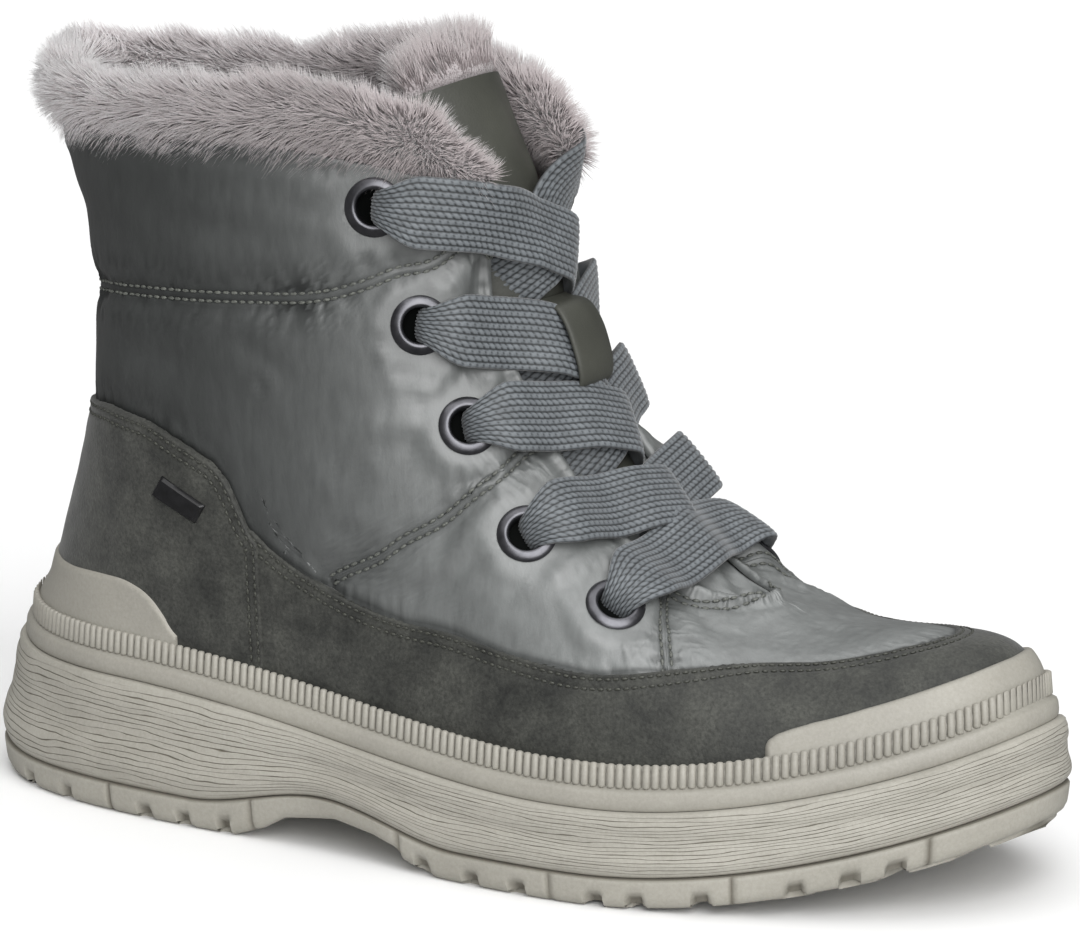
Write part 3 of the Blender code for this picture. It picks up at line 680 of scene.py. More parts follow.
def rowTree(name, sizeName, size, pitch, isRib):
    # stitches, or ribs whose own size the line carries, at even steps along lines of vertices
    tree, given = newTree(name, [("Pitch", "Float", pitch), (sizeName, "Vector", size)])
    line = addNode(tree, "MeshToCurve", {0: given})
    even = addNode(tree, "ResampleCurve", {"Curve": line, "Length": given.outputs["Pitch"]}, mode="LENGTH")
    along = addNode(tree, "InputTangent")
    facing = addNode(tree, "InputNamedAttribute", {"Name": "upward" if isRib else "outward"},
                     data_type="FLOAT_VECTOR")
    scale = given.outputs[sizeName]
    if isRib:
        ball = addNode(tree, "MeshUVSphere", {"Segments": 8, "Rings": 6, "Radius": 1.0})
        # the ball's upper and lower thirds are pushed apart into a rod with round ends
        parts = addNode(tree, "SeparateXYZ", {0: addNode(tree, "InputPosition")})
        way = addNode(tree, "Math", {0: parts.outputs[2]}, operation="SIGN")
        height = addNode(tree, "Math", {0: parts.outputs[2], 1: 0.22}, operation="MULTIPLY")
        lift = addNode(tree, "Math", {0: way, 1: 0.78, 2: height}, operation="MULTIPLY_ADD")
        rod = addNode(tree, "CombineXYZ", {0: parts.outputs[0], 1: parts.outputs[1], 2: lift})
        bead = addNode(tree, "SetPosition", {0: ball, "Position": rod})
        own = addNode(tree, "InputNamedAttribute", {"Name": "ribSize"}, data_type="FLOAT_VECTOR")
        scale = addNode(tree, "VectorMath", {0: scale, 1: own}, operation="MULTIPLY")
    else:
        bead = addNode(tree, "MeshUVSphere", {"Segments": 6, "Rings": 4, "Radius": 0.5})
    # a rib stands on its upward axis and turns along the line, a stitch lies along it and turns outwards
    main, second = (("Z", facing), ("X", along)) if isRib else (("X", along), ("Z", facing))
    turned = addNode(tree, "AlignRotationToVector", {"Vector": main[1]}, axis=main[0])
    turned = addNode(tree, "AlignRotationToVector", {"Rotation": turned, "Vector": second[1]},
                     axis=second[0], pivot_axis=main[0])
    soft = addNode(tree, "SetShadeSmooth", {0: bead})
    placed = addNode(tree, "InstanceOnPoints", {
        "Points": even, "Instance": soft, "Rotation": turned, "Scale": scale})
    return closeTree(tree, given, placed)


def furTree():
    # tapering strands on a surface that carries a lie and a length, gathered into locks by noise
    tree, given = newTree("pileStrands", [
        ("Density", "Float", 1.0e6), ("Strand width", "Float", 0.0003), ("Lock size", "Float", 0.006),
        ("Lock strength", "Float", 0.9), ("Stray", "Float", 0.25), ("Sway", "Float", 0.5),
        ("Seed", "Int", 3)])
    size = given.outputs
    place = addNode(tree, "InputPosition")
    lie = addNode(tree, "InputNamedAttribute", {"Name": "pileLie"}, data_type="FLOAT_VECTOR")
    length, thickness, along = [
        addNode(tree, "InputNamedAttribute", {"Name": name}, data_type="FLOAT")
        for name in ("pileLength", "pileDensity", "strandLength")]
    density = addNode(tree, "Math", {0: size["Density"], 1: thickness}, operation="MULTIPLY")
    roots = addNode(tree, "DistributePointsOnFaces", {
        "Mesh": given, "Density": density, "Seed": size["Seed"]})
    scale = addNode(tree, "Math", {0: 1.0, 1: size["Lock size"]}, operation="DIVIDE")
    locks = addNode(tree, "TexNoise", {"Vector": place, "Scale": scale, "Detail": 1.0}).outputs["Color"]
    lean = addNode(tree, "VectorMath", {0: locks, 1: (0.5, 0.5, 0.5)}, operation="SUBTRACT")
    lean = addNode(tree, "VectorMath", {0: lean, "Scale": size["Lock strength"]}, operation="SCALE")
    wild = addNode(tree, "RandomValue", {0: (-1.0, -1.0, -1.0), 1: (1.0, 1.0, 1.0), "Seed": 11},
                   data_type="FLOAT_VECTOR")
    stray = addNode(tree, "VectorMath", {0: wild, "Scale": size["Stray"]}, operation="SCALE")
    heading = addNode(tree, "VectorMath", {0: lie, 1: lean}, operation="ADD")
    heading = addNode(tree, "VectorMath", {0: heading, 1: stray}, operation="ADD")
    turned = addNode(tree, "AlignRotationToVector", {"Vector": heading}, axis="Z")
    # one needle, marked with the share of its length
    needle = addNode(tree, "MeshCone", {
        "Vertices": 3, "Side Segments": 1, "Radius Top": 0.0, "Radius Bottom": 1.0, "Depth": 1.0},
        fill_type="NGON")
    rise = addNode(tree, "SeparateXYZ", {0: place}).outputs[2]
    marked = addNode(tree, "StoreNamedAttribute", {0: needle, "Name": "strandLength", "Value": rise},
                     data_type="FLOAT", domain="POINT")
    soft = addNode(tree, "SetShadeSmooth", {0: marked})
    vary = addNode(tree, "RandomValue", {2: 0.7, 3: 1.1, "Seed": 8}, data_type="FLOAT")
    tall = addNode(tree, "Math", {0: vary, 1: length}, operation="MULTIPLY")
    stretch = addNode(tree, "CombineXYZ", {0: size["Strand width"], 1: size["Strand width"], 2: tall})
    tints = addNode(tree, "RandomValue", {2: 0.0, 3: 1.0, "Seed": 21}, data_type="FLOAT")
    tinted = addNode(tree, "StoreNamedAttribute", {0: roots, "Name": "strandTint", "Value": tints},
                     data_type="FLOAT", domain="POINT")
    placed = addNode(tree, "InstanceOnPoints", {
        "Points": tinted, "Instance": soft, "Rotation": turned, "Scale": stretch})
    solid = addNode(tree, "RealizeInstances", {0: placed})
    # the tips are swept aside by a second noise and sag a little
    sweep = addNode(tree, "TexNoise", {"Vector": place, "Scale": 120.0, "Detail": 1.0}).outputs["Color"]
    sway = addNode(tree, "VectorMath", {0: sweep, 1: (0.5, 0.5, 0.6)}, operation="SUBTRACT")
    amount = addNode(tree, "Math", {0: along, 1: 2.0}, operation="POWER")
    for factor in (length, size["Sway"]):
        amount = addNode(tree, "Math", {0: amount, 1: factor}, operation="MULTIPLY")
    shift = addNode(tree, "VectorMath", {0: sway, "Scale": amount}, operation="SCALE")
    moved = addNode(tree, "SetPosition", {0: solid, "Offset": shift})
    return closeTree(tree, given, moved)


def runTree(name, guide, tree, inputs, slotName, *nodes):
    # evaluates a tree on a guide mesh and keeps the result as a plain mesh
    guide = addObject(name + "Guide", guide)
    modifier = guide.modifiers.new("tree", "NODES")
    modifier.node_group = tree
    for item in tree.interface.items_tree:
        if item.in_out == "INPUT" and item.name in inputs:
            modifier[item.identifier] = inputs[item.name]
    mesh = bpy.data.meshes.new_from_object(guide.evaluated_get(bpy.context.evaluated_depsgraph_get()))
    mesh.name = name
    bpy.data.objects.remove(guide)
    print(name + ":", len(mesh.polygons), "faces")
    return settle(addObject(name, mesh), slotName, *nodes)


def guideLines(lines, values):
    # lines of vertices, open or closed, that a tree follows
    edges, base = [], 0
    for line, closed in lines:
        last = base + len(line) - 1
        edges += [(i, i + 1) for i in range(base, last)] + ([(last, base)] if closed else [])
        base = last + 1
    return newMesh("guide", np.concatenate([line for line, _ in lines]), edges, [], values)


stitches = rowTree("stitchRows", "Stitch size", (0.0024, 0.0008, 0.0006), 0.003, False)
ribs = rowTree("bandRibs", "Rib size", (0.0008, 0.0008, 0.003), 0.002, True)
strands = furTree()


# padded nylon panels
padding = {
    "columns": (270, 150, 112),       # heel to the slanting seam, on to the vamp seam, on to the toe
    "rows": (66, 40), "turn": 0.72,   # below and above the collar seam, which is at that share of the rows
    "puff": 1.0,                      # all sizes are in mm
    "thickness": 1.7, "insideRows": 16,
    "seamDepth": 1.9, "seamReach": 4.6,
    "leatherDepth": 0.6, "edgeDepth": 1.0,
    "stitchRow": 1.05,                # from the middle of a seam to each row of stitches
    "gather": 0.85, "gatherReach": 4.2, "gatherEnd": 13.0,
    "gatherShare": {"collar": 1.0, "slant": 1.0, "vamp": 0.8, "gusset": 0.22},
    "foldShare": {"collar": 1.0, "slant": 1.0, "vamp": 1.0, "gusset": 0.6},
    "wrinkle": 0.07, "lowest": -1.25,
    "seat": 7.6, "seatReach": 5.5,    # flat place under each eyelet
}
collarSeam = [
    # around, share
    (0.000, 0.715), (0.070, 0.722), (0.139, 0.731), (0.162, 0.726), (0.183, 0.724), (0.202, 0.727),
    (0.216, 0.740), (0.229, 0.766), (0.238, 0.788), (0.248, 0.806), (0.258, 0.860), (0.268, 0.930),
    (0.278, 1.000)]
slantSeam = [
    # around, share
    (0.212, 0.261), (0.219, 0.281), (0.232, 0.312), (0.244, 0.351), (0.261, 0.395), (0.290, 0.513),
    (0.311, 0.678), (0.324, 0.912), (0.325, 1.000)]
vampSeam = [(0.366, 0.380), (0.368, 0.411), (0.395, 0.908)]
gussetSeam = [(0.396, 0.913), (0.407, 0.915), (0.434, 0.949), (0.454, 0.977), (0.475, 1.000)]
creases = [
    # from around, share; to around, share; width, depth in mm; a ridge has a depth below zero
    (0.222, 0.82, 0.223, 0.78, 1.3, 0.6), (0.196, 0.877, 0.215, 0.906, 2.4, 0.5),
    (0.137, 0.851, 0.200, 0.832, 3.2, 0.5), (0.213, 0.49, 0.219, 0.363, 2.4, 0.5),
    (0.222, 0.478, 0.226, 0.377, 2.0, 0.6), (0.219, 0.505, 0.261, 0.537, 2.6, -0.6),
    (0.182, 0.589, 0.185, 0.546, 1.6, 0.6), (0.229, 0.661, 0.241, 0.645, 1.6, 0.8),
    (0.235, 0.613, 0.262, 0.598, 1.8, 0.8), (0.212, 0.330, 0.228, 0.352, 2.2, 0.5),
    (0.286, 0.557, 0.279, 0.478, 1.4, 0.9), (0.297, 0.617, 0.289, 0.517, 1.4, 0.9),
    (0.304, 0.665, 0.299, 0.573, 1.4, 0.8), (0.257, 0.336, 0.307, 0.588, 2.8, 0.7),
    (0.262, 0.298, 0.322, 0.532, 2.6, 0.6), (0.242, 0.259, 0.282, 0.344, 2.4, 0.7),
    (0.327, 0.462, 0.348, 0.697, 2.4, 0.5), (0.410, 0.911, 0.413, 0.704, 2.6, 0.6),
    (0.498, 0.959, 0.482, 0.623, 3.4, 0.4), (0.236, 0.60, 0.262, 0.54, 2.2, 0.5),
    (0.10, 0.62, 0.16, 0.60, 4.0, 0.6), (0.08, 0.50, 0.14, 0.53, 4.0, 0.5),
    (0.17, 0.66, 0.20, 0.57, 3.0, 0.5), (0.05, 0.86, 0.12, 0.84, 4.0, 0.5),
    (0.345, 0.45, 0.352, 0.54, 1.4, 0.6), (0.372, 0.56, 0.380, 0.50, 1.6, 0.5)]


def bothSides(rows):
    return [list(rows), mirrored(rows)]


def throughHeel(rows):
    # rows of the outer half carried on round the back of the heel to the inner half
    return [(-row[0], *row[1:]) for row in rows[:0:-1]] + list(rows)


# share where the leather ends, the counter's or the mudguard's edge, whichever is higher
leatherPlaces = np.linspace(0, 0.5, 501)
counterShares = shareAt(leatherPlaces, softEdgeTable(counterEdge, leatherPlaces))
leatherShares = np.maximum(np.where(leatherPlaces < counterEdge[-1][0], counterShares, 0),
                           np.where(leatherPlaces > guardEdge[0][0], edgeTable(guardEdge, leatherPlaces), 0))


def leatherTop(around):
    return np.interp(fromHeel(around), leatherPlaces, leatherShares)


seamLines = {name: [surfacePath(row) for row in rows] for name, rows in {
    "collar": [throughHeel(collarSeam)], "slant": bothSides(slantSeam[:-1]),
    "vamp": bothSides(vampSeam[1:]), "gusset": bothSides(gussetSeam)}.items()}
topEdge = surfacePath([(a, 1.0) for a in np.linspace(0, 1, 240)], 0.7)
eyeletPoses = {}


def eyeletPose(place, side):
    # centre and axis of an eyelet, lifted until its flange clears the padding around it
    if (place, side) not in eyeletPoses:
        around = place[0] if side == 0 else 1 - place[0]
        point, out, _ = skinFrame(around, place[1])
        a, v = np.meshgrid(np.linspace(-0.03, 0.03, 13), np.linspace(-0.12, 0.12, 13))
        near = skin(around + a.ravel(), np.clip(place[1] + v.ravel(), 0, 1)) - point[0]
        rise = near @ out[0]
        reach = np.linalg.norm(near - np.outer(rise, out[0]), axis=1)
        eyeletPoses[place, side] = (point[0] + out[0] * (rise[reach < 7.5].max() + 0.15), out[0])
    return eyeletPoses[place, side]


def seamFold(distance):
    # valley of a double-stitched seam, with a raised fold between two sunken rows of stitches
    rows = bell(np.abs(distance) - padding["stitchRow"], 0.45)
    return (-padding["seamDepth"] * bell(distance, padding["seamReach"])
            + 0.55 * bell(distance, 2.0) - 0.4 * rows)


def gathers(distance, run, reach, seed):
    # small folds that start at a seam and fade as they leave it, and the painted shade of the pinched
    # hollows between them
    fine = latticeNoise([run / 1.6, distance / 8], seed)
    broad = latticeNoise([run / 5.5, distance / 14], seed + 1)
    strength = latticeNoise([run / 19, 0.0], seed + 2) * 0.45 + 0.75
    strength = strength * (1 - bell(distance, 1.3)) * smooth((padding["gatherEnd"] - distance) / 6)
    near = np.exp(-distance / reach)
    relief = (1 - 3 * np.abs(fine)) * near + 0.5 * broad * np.exp(-distance / (2.6 * reach))
    return strength * relief, strength * np.clip(3 * np.abs(fine) - 0.9, 0, 0.8) * near


def padHeight(around, share, points):
    # how far the nylon stands out from the form, and how much painted shade its hollows get
    side = fromHeel(around)
    height = np.full(len(around), padding["puff"])
    paintedShade = np.zeros(len(around))
    for seed, (name, lines) in enumerate(seamLines.items()):
        for line in lines:
            distance, run = besidePath(line, points)
            height += padding["foldShare"][name] * seamFold(distance)
            folds, pinches = gathers(distance, run, padding["gatherReach"], 40 + 7 * seed)
            height += padding["gatherShare"][name] * padding["gather"] * folds
            # painted shade along the seam, on its stitch rows and in the pinches of its gathers
            paintedShade = np.maximum.reduce([
                paintedShade, 1.3 * padding["gatherShare"][name] * pinches, 0.3 * bell(distance, 2.6),
                0.6 * bell(distance - padding["stitchRow"], 0.4)])
    # beside the leather
    rise = (share - leatherTop(around)) * 120.0
    height -= padding["leatherDepth"] * bell(np.maximum(rise, 0), 6.0)
    folds, pinches = gathers(np.maximum(rise, 0) + 1.5, around * outlineLength, 4.0, 90)
    height += 0.5 * padding["gather"] * folds
    under = np.minimum(height, 0.5 + 0.35 * np.minimum(rise, 0))
    height = height + (under - height) * smooth(1 - rise / 4)
    # painted shade in the pinches and along the leather's edge
    paintedShade = np.maximum.reduce([paintedShade, 0.7 * pinches, 0.6 * bell(rise, 1.2)])
    # rolled upper edge
    distance, run = besidePath(topEdge, points)
    roll = np.clip(1.6 - distance, 0, 1.6)
    height -= 1.6 - np.sqrt(1.6 ** 2 - roll ** 2)
    height -= padding["edgeDepth"] * bell(distance - 3.2, 2.2)
    height += 0.7 * padding["gather"] * gathers(distance, run, 4.0, 130)[0]
    # swelling and fine wrinkles
    height += 0.5 * latticeNoise(points / 17.0, 3) + 0.06 * latticeNoise(points / 6.0, 4)
    flow = np.column_stack([points[:, 0] / 1.7, points[:, 1] / 2.6, points[:, 2] / 7.0])
    height += padding["wrinkle"] * (0.6 - 2 * np.abs(latticeNoise(flow, 5)))
    gusset = smooth((share - 0.93) / 0.05) * smooth((side - 0.395) / 0.01)
    height += gusset * (0.5 + 0.35 * latticeNoise([around * 260, share * 4], 6))
    for *places, width, depth in creases:
        for start, end in bothSides([places[:2], places[2:]]):
            mid = ((start[0] + end[0]) / 2 + 0.002, (start[1] + end[1]) / 2 + 0.006)
            line = surfacePath([start, mid, end], 0.8)
            distance, run = besidePath(line, points)
            fade = smooth(3 * run / line["run"][-1]) * smooth(3 * (1 - run / line["run"][-1]))
            height -= depth * fade * (bell(distance, width) - 0.45 * bell(distance - 1.9 * width, width))
    height = np.maximum(height, padding["lowest"])
    for place in eyeletPlaces:
        for flank in (0, 1):
            centre, axis = eyeletPose(place, flank)
            away = points - centre
            level = away @ axis
            radius = np.linalg.norm(away - np.outer(level, axis), axis=1)
            near = (radius < 24) & (np.linalg.norm(away, axis=1) < 30)
            angle = np.arctan2(away @ unit(np.cross(axis, (0, 0, 1.0))), away[:, 2])
            fold = 0.5 * latticeNoise([angle * 4.4, radius / 9], 61 + 2 * flank)
            height = np.where(near, height + fold * bell(radius - 10, 4.5), height)
            weight = smooth((padding["seat"] + padding["seatReach"] - radius) / padding["seatReach"])
            height = np.where(near, height * (1 - weight) + (0.12 - level) * weight, height)
            height = np.where(near & (radius < 5.2), -1.5, height)
            # painted shade down each eyelet's pit
            paintedShade = np.where(near & (radius < 5.3), 1.6, paintedShade)
    return height, paintedShade


def easedSteps(count, ease):
    # steps from 0 to 1 that are finer towards both ends
    t = np.linspace(0, 1, count + 1)
    return t - ease * np.sin(2 * np.pi * t) / (2 * np.pi)


def nylonPanel(name, part, side):
    # part 0 is the quarters round the heel, 1 the front panel and 2 the vamp
    below, above = padding["rows"]
    turnAt = padding["turn"]
    eased = easedSteps(padding["columns"][part] // (1 + side), 0.5)
    if part == 0:
        t = np.concatenate([-eased[:0:-1], eased])
    elif part == 1:
        t = eased
    else:
        t = np.concatenate([eased, 2 - eased[-2::-1]])
    v = np.concatenate([turnAt * easedSteps(below, 0.45),
                        turnAt + (1 - turnAt) * easedSteps(above, 0.35)[1:]])
    tt, vv = np.meshgrid(t, v, indexing="ij")
    tt, vv = tt.ravel(), vv.ravel()
    share = 0.35 + 0.65 * vv
    for _ in range(5):
        slant, vamp = [np.interp(share, [row[1] for row in seam], [row[0] for row in seam])
                       for seam in (slantSeam, vampSeam)]
        if part == 0:
            around = tt * slant
        elif part == 1:
            around = slant + tt * (vamp - slant)
        else:
            around = np.where(tt <= 1, vamp + tt * (0.5 - vamp), 1 - vamp - (2 - tt) * (0.5 - vamp))
        low = leatherTop(around) - 0.06
        turn = edgeTable(collarSeam[:8], around)
        share = np.where(vv < turnAt, low + (turn - low) * vv / turnAt,
                         turn + (1 - turn) * (vv - turnAt) / (1 - turnAt))
    if side == 1:
        around = 1 - around
    points, normals, _ = skinFrame(around, share)
    height, paintedShade = padHeight(around % 1, share, points)
    outside = (points + normals * height[:, None]).reshape(len(t), len(v), 3)
    count = padding["insideRows"]
    picks = np.clip(np.searchsorted(v, [1 - k / (count - 1) for k in range(count)]), 0, len(v) - 1)
    inside = [wall(around.reshape(len(t), -1)[:, k], share.reshape(len(t), -1)[:, k], -padding["thickness"])
              for k in picks]
    loops = np.concatenate([outside, np.stack(inside, axis=1)], axis=1)
    marks = np.concatenate([paintedShade.reshape(len(t), -1), np.zeros((len(t), count))], axis=1)
    makePiece(name, loft(loops), nylon, "padded_cloth", "upper", {"paintedShade": marks.ravel()})


nylonPanel("nylonQuarters", 0, 0)
nylonPanel("nylonFrontOuter", 1, 0)
nylonPanel("nylonFrontInner", 1, 1)
nylonPanel("nylonVamp", 2, 0)
print("nylon panels done")


# pile lining inside the wall
lining = {"columns": 200, "rows": 30, "inset": 2.7, "pile": 0.7, "top": 0.972}


def makeLining():
    around = np.arange(lining["columns"]) / lining["columns"]
    shares = np.concatenate([[0.0, 0.03], np.linspace(0.08, lining["top"], lining["rows"] - 2)])
    loops = []
    for share in shares:
        point, out, _ = skinFrame(around, share)
        depth = np.full(len(around), lining["inset"])
        for place in eyeletPlaces:
            for side in (0, 1):
                away = np.linalg.norm(point - eyeletPose(place, side)[0], axis=1)
                depth += 3.2 * smooth((10.5 - away) / 3.5)
        loops.append(point - out * np.minimum(depth, wallDepth(share) - 0.4)[:, None])
    for share in shares[::-1]:
        point, out, _ = skinFrame(around, share)
        lumps = lining["pile"] * latticeNoise(point / 2.4, 17) * smooth((1 - share) * 20)
        loops.append(point - out * (wallDepth(share) - 0.25 + lumps)[:, None])
    shape = loft(np.array(loops).transpose(1, 0, 2), ring=True)
    makePiece("pileLining", shape, liningPile, "fur", "upper")


makeLining()


# leather overlays
overlay = {
    "counterOffset": 1.8, "guardOffset": 1.15, "under": -1.1,
    "edge": 0.8,                      # radius of the rounded edges
    "stitchRows": (1.3, 3.5),         # rows of stitches, measured in from the edge
    "dent": 0.22, "fold": 0.12,
    "counterEnd": 0.1815,
    "columns": (280, 620), "rows": (50, 34),
}


def makeCounterBorder():
    end = overlay["counterEnd"]
    side = np.linspace(0, end, 60)
    top = shareAt(side, softEdgeTable(counterEdge, side))
    rows = list(zip(side, top)) + [(end, top[-1] * k) for k in (0.75, 0.5, 0.25, 0.0)]
    return surfacePath(throughHeel(rows), 0.5, False)


def makeOverlay(name, columns, count, top, offset, border, node):
    # leather patch with a rounded border that follows the form from under the sole band
    rise = np.linspace(0, 1, count)
    rise = 1 - (1 - rise) ** 1.6
    share = np.outer(top, rise)
    points, normals, _ = skinFrame(np.repeat(columns, count), share.ravel())
    distance, _ = besidePath(border, points)
    height = overlay["under"] + (offset - overlay["under"]) * roundOff(distance, overlay["edge"])
    height += overlay["dent"] * latticeNoise(points / 11.0, 31) * smooth(distance / 6)
    height += overlay["fold"] * latticeNoise(points / 4.5, 32)
    for row in overlay["stitchRows"]:
        height -= 0.3 * bell(distance - row, 0.55)
    height -= 0.3 * bell(distance - 2.4, 4.0) * smooth(distance / 2)
    outside = (points + normals * height[:, None]).reshape(len(columns), count, 3)
    inside = [wall(columns, top * k, overlay["under"] - 0.4) for k in (1.0, 0.66, 0.33, 0.0)]
    loops = np.concatenate([outside, np.stack(inside, axis=1)], axis=1)
    makePiece(name, loft(loops), leather, "leather", node)


counterBorder = makeCounterBorder()
guardBorder = surfacePath(guardEdge + mirrored(guardEdge)[-2::-1])
turn = np.pi / 2 * 0.96
columns = np.sin(np.linspace(-1, 1, overlay["columns"][0]) * turn) * overlay["counterEnd"] / np.sin(turn)
tops = shareAt(columns, softEdgeTable(counterEdge, columns))
makeOverlay("heelCounter", columns, overlay["rows"][0], tops, overlay["counterOffset"], counterBorder,
            "heel_counter")
columns = np.linspace(guardEdge[0][0], 1 - guardEdge[0][0], overlay["columns"][1])
knots = np.array(guardEdge)
guardTop = spline(knots[:, 0], knots[:, 1], fromHeel(columns))[:, 0]
makeOverlay("mudguardLeather", columns, overlay["rows"][1], guardTop, overlay["guardOffset"], guardBorder,
            "mudguard")
print("leather done")


# sole
sole = {
    "columns": 760, "wallRows": 30, "grain": 0.25, "grainPitch": 4.5, "lip": 0.35,
    "chevrons": [(31.0, 96.0, 13.0), (167.0, 285.0, 12.5)],   # first, last and pitch, heel and front
    "treadWidth": 3.8, "treadDepth": 3.4, "treadSweep": 6.0,
    "notches": [31, 46, 72, 84, 96, 155, 169, 182, 202, 212, 227, 247, 258, 267, 284],
    "joints": [61, 104, 148, 191, 234, 273],
    # inset and share of the height, up the rim from the tread to the joint with the wall
    "rim": [(3.2, 0.0), (2.4, 0.03), (1.6, 0.12), (0.95, 0.3), (0.75, 0.45), (0.6, 0.62), (0.45, 0.8),
            (0.4, 0.9), (0.7, 0.97), (1.6, 1.0), (8.0, 1.0), (30.0, 1.0)],
}


def roundSole(count):
    return np.arange(count) / count


def makeMidsoleWall():
    around = roundSole(sole["columns"])
    x = soleX(around)
    low, high = seamHeight(x) + 0.08, footbedHeight(x)
    steep = wallInset(x)
    nothing = 0 * x
    knots = [0.0, 0.09, 0.5, 0.96, 1.0]
    table = np.stack([1.3 + nothing, 0.3 + nothing, 0.2 + 0.45 * (steep - 1.6), steep - 1.6, steep - 1.1])
    turn = np.column_stack([np.cos(2 * np.pi * around), np.sin(2 * np.pi * around)]) * outlineLength / 6.283
    # loop of points, groove, level and lined for each row, from under the wall to over it
    rows = [(soleLoop(around, 30.0, low), nothing, nothing, nothing),
            (soleLoop(around, 6.0, low), nothing + 1, nothing, nothing)]
    for share in np.linspace(0, 1, sole["wallRows"]):
        height = low + (high - low) * share
        warp = 0.9 * latticeNoise(np.column_stack([turn / 34.0, height / 8.0]), 71)
        phase = height / sole["grainPitch"] + warp
        strength = 0.6 + 0.5 * latticeNoise(np.column_stack([turn / 16.0, height / 2.2]), 73)
        groove = (0.5 + 0.5 * np.cos(2 * np.pi * phase)) * np.clip(strength, 0.05, 1.1)
        groove *= smooth((share - 0.05) / 0.05) * smooth((0.955 - share) / 0.03)
        inset = spline(knots, table, [share])[0] + sole["grain"] * groove
        inset += -sole["lip"] * bell(share - 0.975, 0.02)
        lined = smooth((share - 0.03) / 0.05) * smooth((0.95 - share) / 0.03)
        # painted shade in the grain grooves and at the foot of the wall
        rows.append((soleLoop(around, inset, height), 0.1 * groove + 0.6 * bell(share, 0.015),
                     nothing + 27.0 * share, nothing + lined))
    rows += [(soleLoop(around, inset, high), nothing, nothing, nothing) for inset in (steep + 5, 30.0)]
    loops, *marks = zip(*rows)
    marks = {name: np.concatenate(mark) for name, mark in zip(("groove", "level", "lined"), marks)}
    makePiece("midsoleWall", loft(loops), wallRubber, "sole_rubber", "midsole", marks, 50)


def treadCut(points):
    # depth of the chevron grooves under the sole
    cut = np.zeros(len(points))
    half = sole["treadWidth"] / 2
    for place in np.concatenate([np.arange(*row) for row in sole["chevrons"]]):
        middle = place - sole["treadSweep"] * np.abs(points[:, 1]) / 75
        away = np.abs(points[:, 0] - middle)
        cut = np.maximum(cut, np.clip((half + 0.5 - away) / 0.9, 0, 1))
    return cut


def makeOutsoleTread():
    around = roundSole(sole["columns"])
    x = soleX(around)
    low, high = undersideHeight(x), seamHeight(x) - 0.08
    loops, marks = [], []
    ends = (np.abs(around - 0.5) < 0.035) | (fromHeel(around) < 0.03)
    nicks = np.max([np.clip((2.1 - np.abs(x - place)) / 0.7, 0, 1) for place in sole["notches"]], axis=0)
    nicks = np.where(ends, 0, nicks)
    joints = np.where(ends, 0, np.max([bell(x - place, 0.55) for place in sole["joints"]], axis=0))
    # under the sole, from the middle line out to the rim
    middle = np.column_stack([x, 0 * x + 1.5 * (x / 288.0), low])
    rim, _ = soleEdge(around, 3.2)
    for k in np.linspace(0.02, 0.985, 26):
        plan = middle[:, :2] * (1 - k) + rim * k
        points = np.column_stack([plan, undersideHeight(plan[:, 0])])
        cut = treadCut(points) * smooth((k - 0.05) / 0.1)
        points[:, 2] += cut * sole["treadDepth"]
        loops.append(points)
        # painted shade in the tread grooves
        marks.append(cut * 0.8)
    for inset, share in sole["rim"]:
        nick = nicks * smooth((0.5 - share) / 0.12)
        cut = joints * smooth((0.98 - share) / 0.05)
        loop = soleLoop(around, inset + 2.8 * nick + 0.7 * cut, low + (high - low) * share)
        if share < 0.1:
            loop[:, 2] += nick * sole["treadDepth"] * 0.8
        loops.append(loop)
        # painted shade in the nicks and the joints, and along the top of the rim under the wall
        marks.append(np.maximum(nick * 0.6, 0.8 * cut) + (0.6 if 0.95 < share else 0.0))
    makePiece("outsoleTread", loft(loops), treadRubber, "sole_rubber", "outsole",
              {"groove": np.concatenate(marks)}, 40)


makeMidsoleWall()
makeOutsoleTread()
print("sole done")


# band over the midsole, with its ribs
band = {
    "columns": 720,
    "profile": [(0.1, 0.2), (-0.15, 0.7), (-0.2, 2.0), (0.0, 3.6), (0.35, 4.4), (1.0, 4.75), (1.9, 4.95),
                (2.3, 5.4), (2.5, 8.2), (3.2, 9.2), (4.4, 9.6)],
    "inside": (10.2, 5.0, 0.4), "ribMiddle": 7.75, "ribInset": 2.35,
    "ribPitch": 0.00215, "ribSize": (0.001, 0.00095, 0.0029),      # in m: half width, rise and half height
}


def smoothRubber(name, loops, node, ring=False):
    flat = {"groove": np.zeros(loops[..., 0].size)}
    makePiece(name, loft(loops, ring), bandRubber, "sole_rubber", node, flat, 60)


def makeBand():
    around = roundSole(band["columns"])
    x = soleX(around)
    base, steep = footbedHeight(x), wallInset(x)
    loops = [soleLoop(around, steep + inset, base + height) for inset, height in band["profile"]]
    for height in band["inside"]:
        inner = wall(around, shareAt(around, base + height), -0.5)
        inner[:, 2] = base + height
        loops.append(inner)
    smoothRubber("soleBand", np.array(loops).transpose(1, 0, 2), "foxing", True)


def makeRibs():
    around = roundSole(2880)
    edge, out = soleEdge(around)
    base = footbedHeight(edge[:, 0])
    line = soleLoop(around, wallInset(edge[:, 0]) + band["ribInset"], base + band["ribMiddle"])
    side = fromHeel(around)
    # lower where they meet the caps
    rise = smooth((side - 0.022) / 0.02) * smooth((0.488 - side) / 0.015)
    size = np.column_stack([0 * side + 1, 0.15 + 0.85 * rise, 0 * side + 1])
    lean = np.column_stack([out * -0.06, 0 * side + 1])
    guide = guideLines([(line, True)], {"upward": unit(lean), "ribSize": size})
    runTree("bandRibs", guide, ribs, {
        "Pitch": band["ribPitch"], "Rib size": band["ribSize"], "Material": bandRubber}, "sole_rubber")


makeBand()
makeRibs()


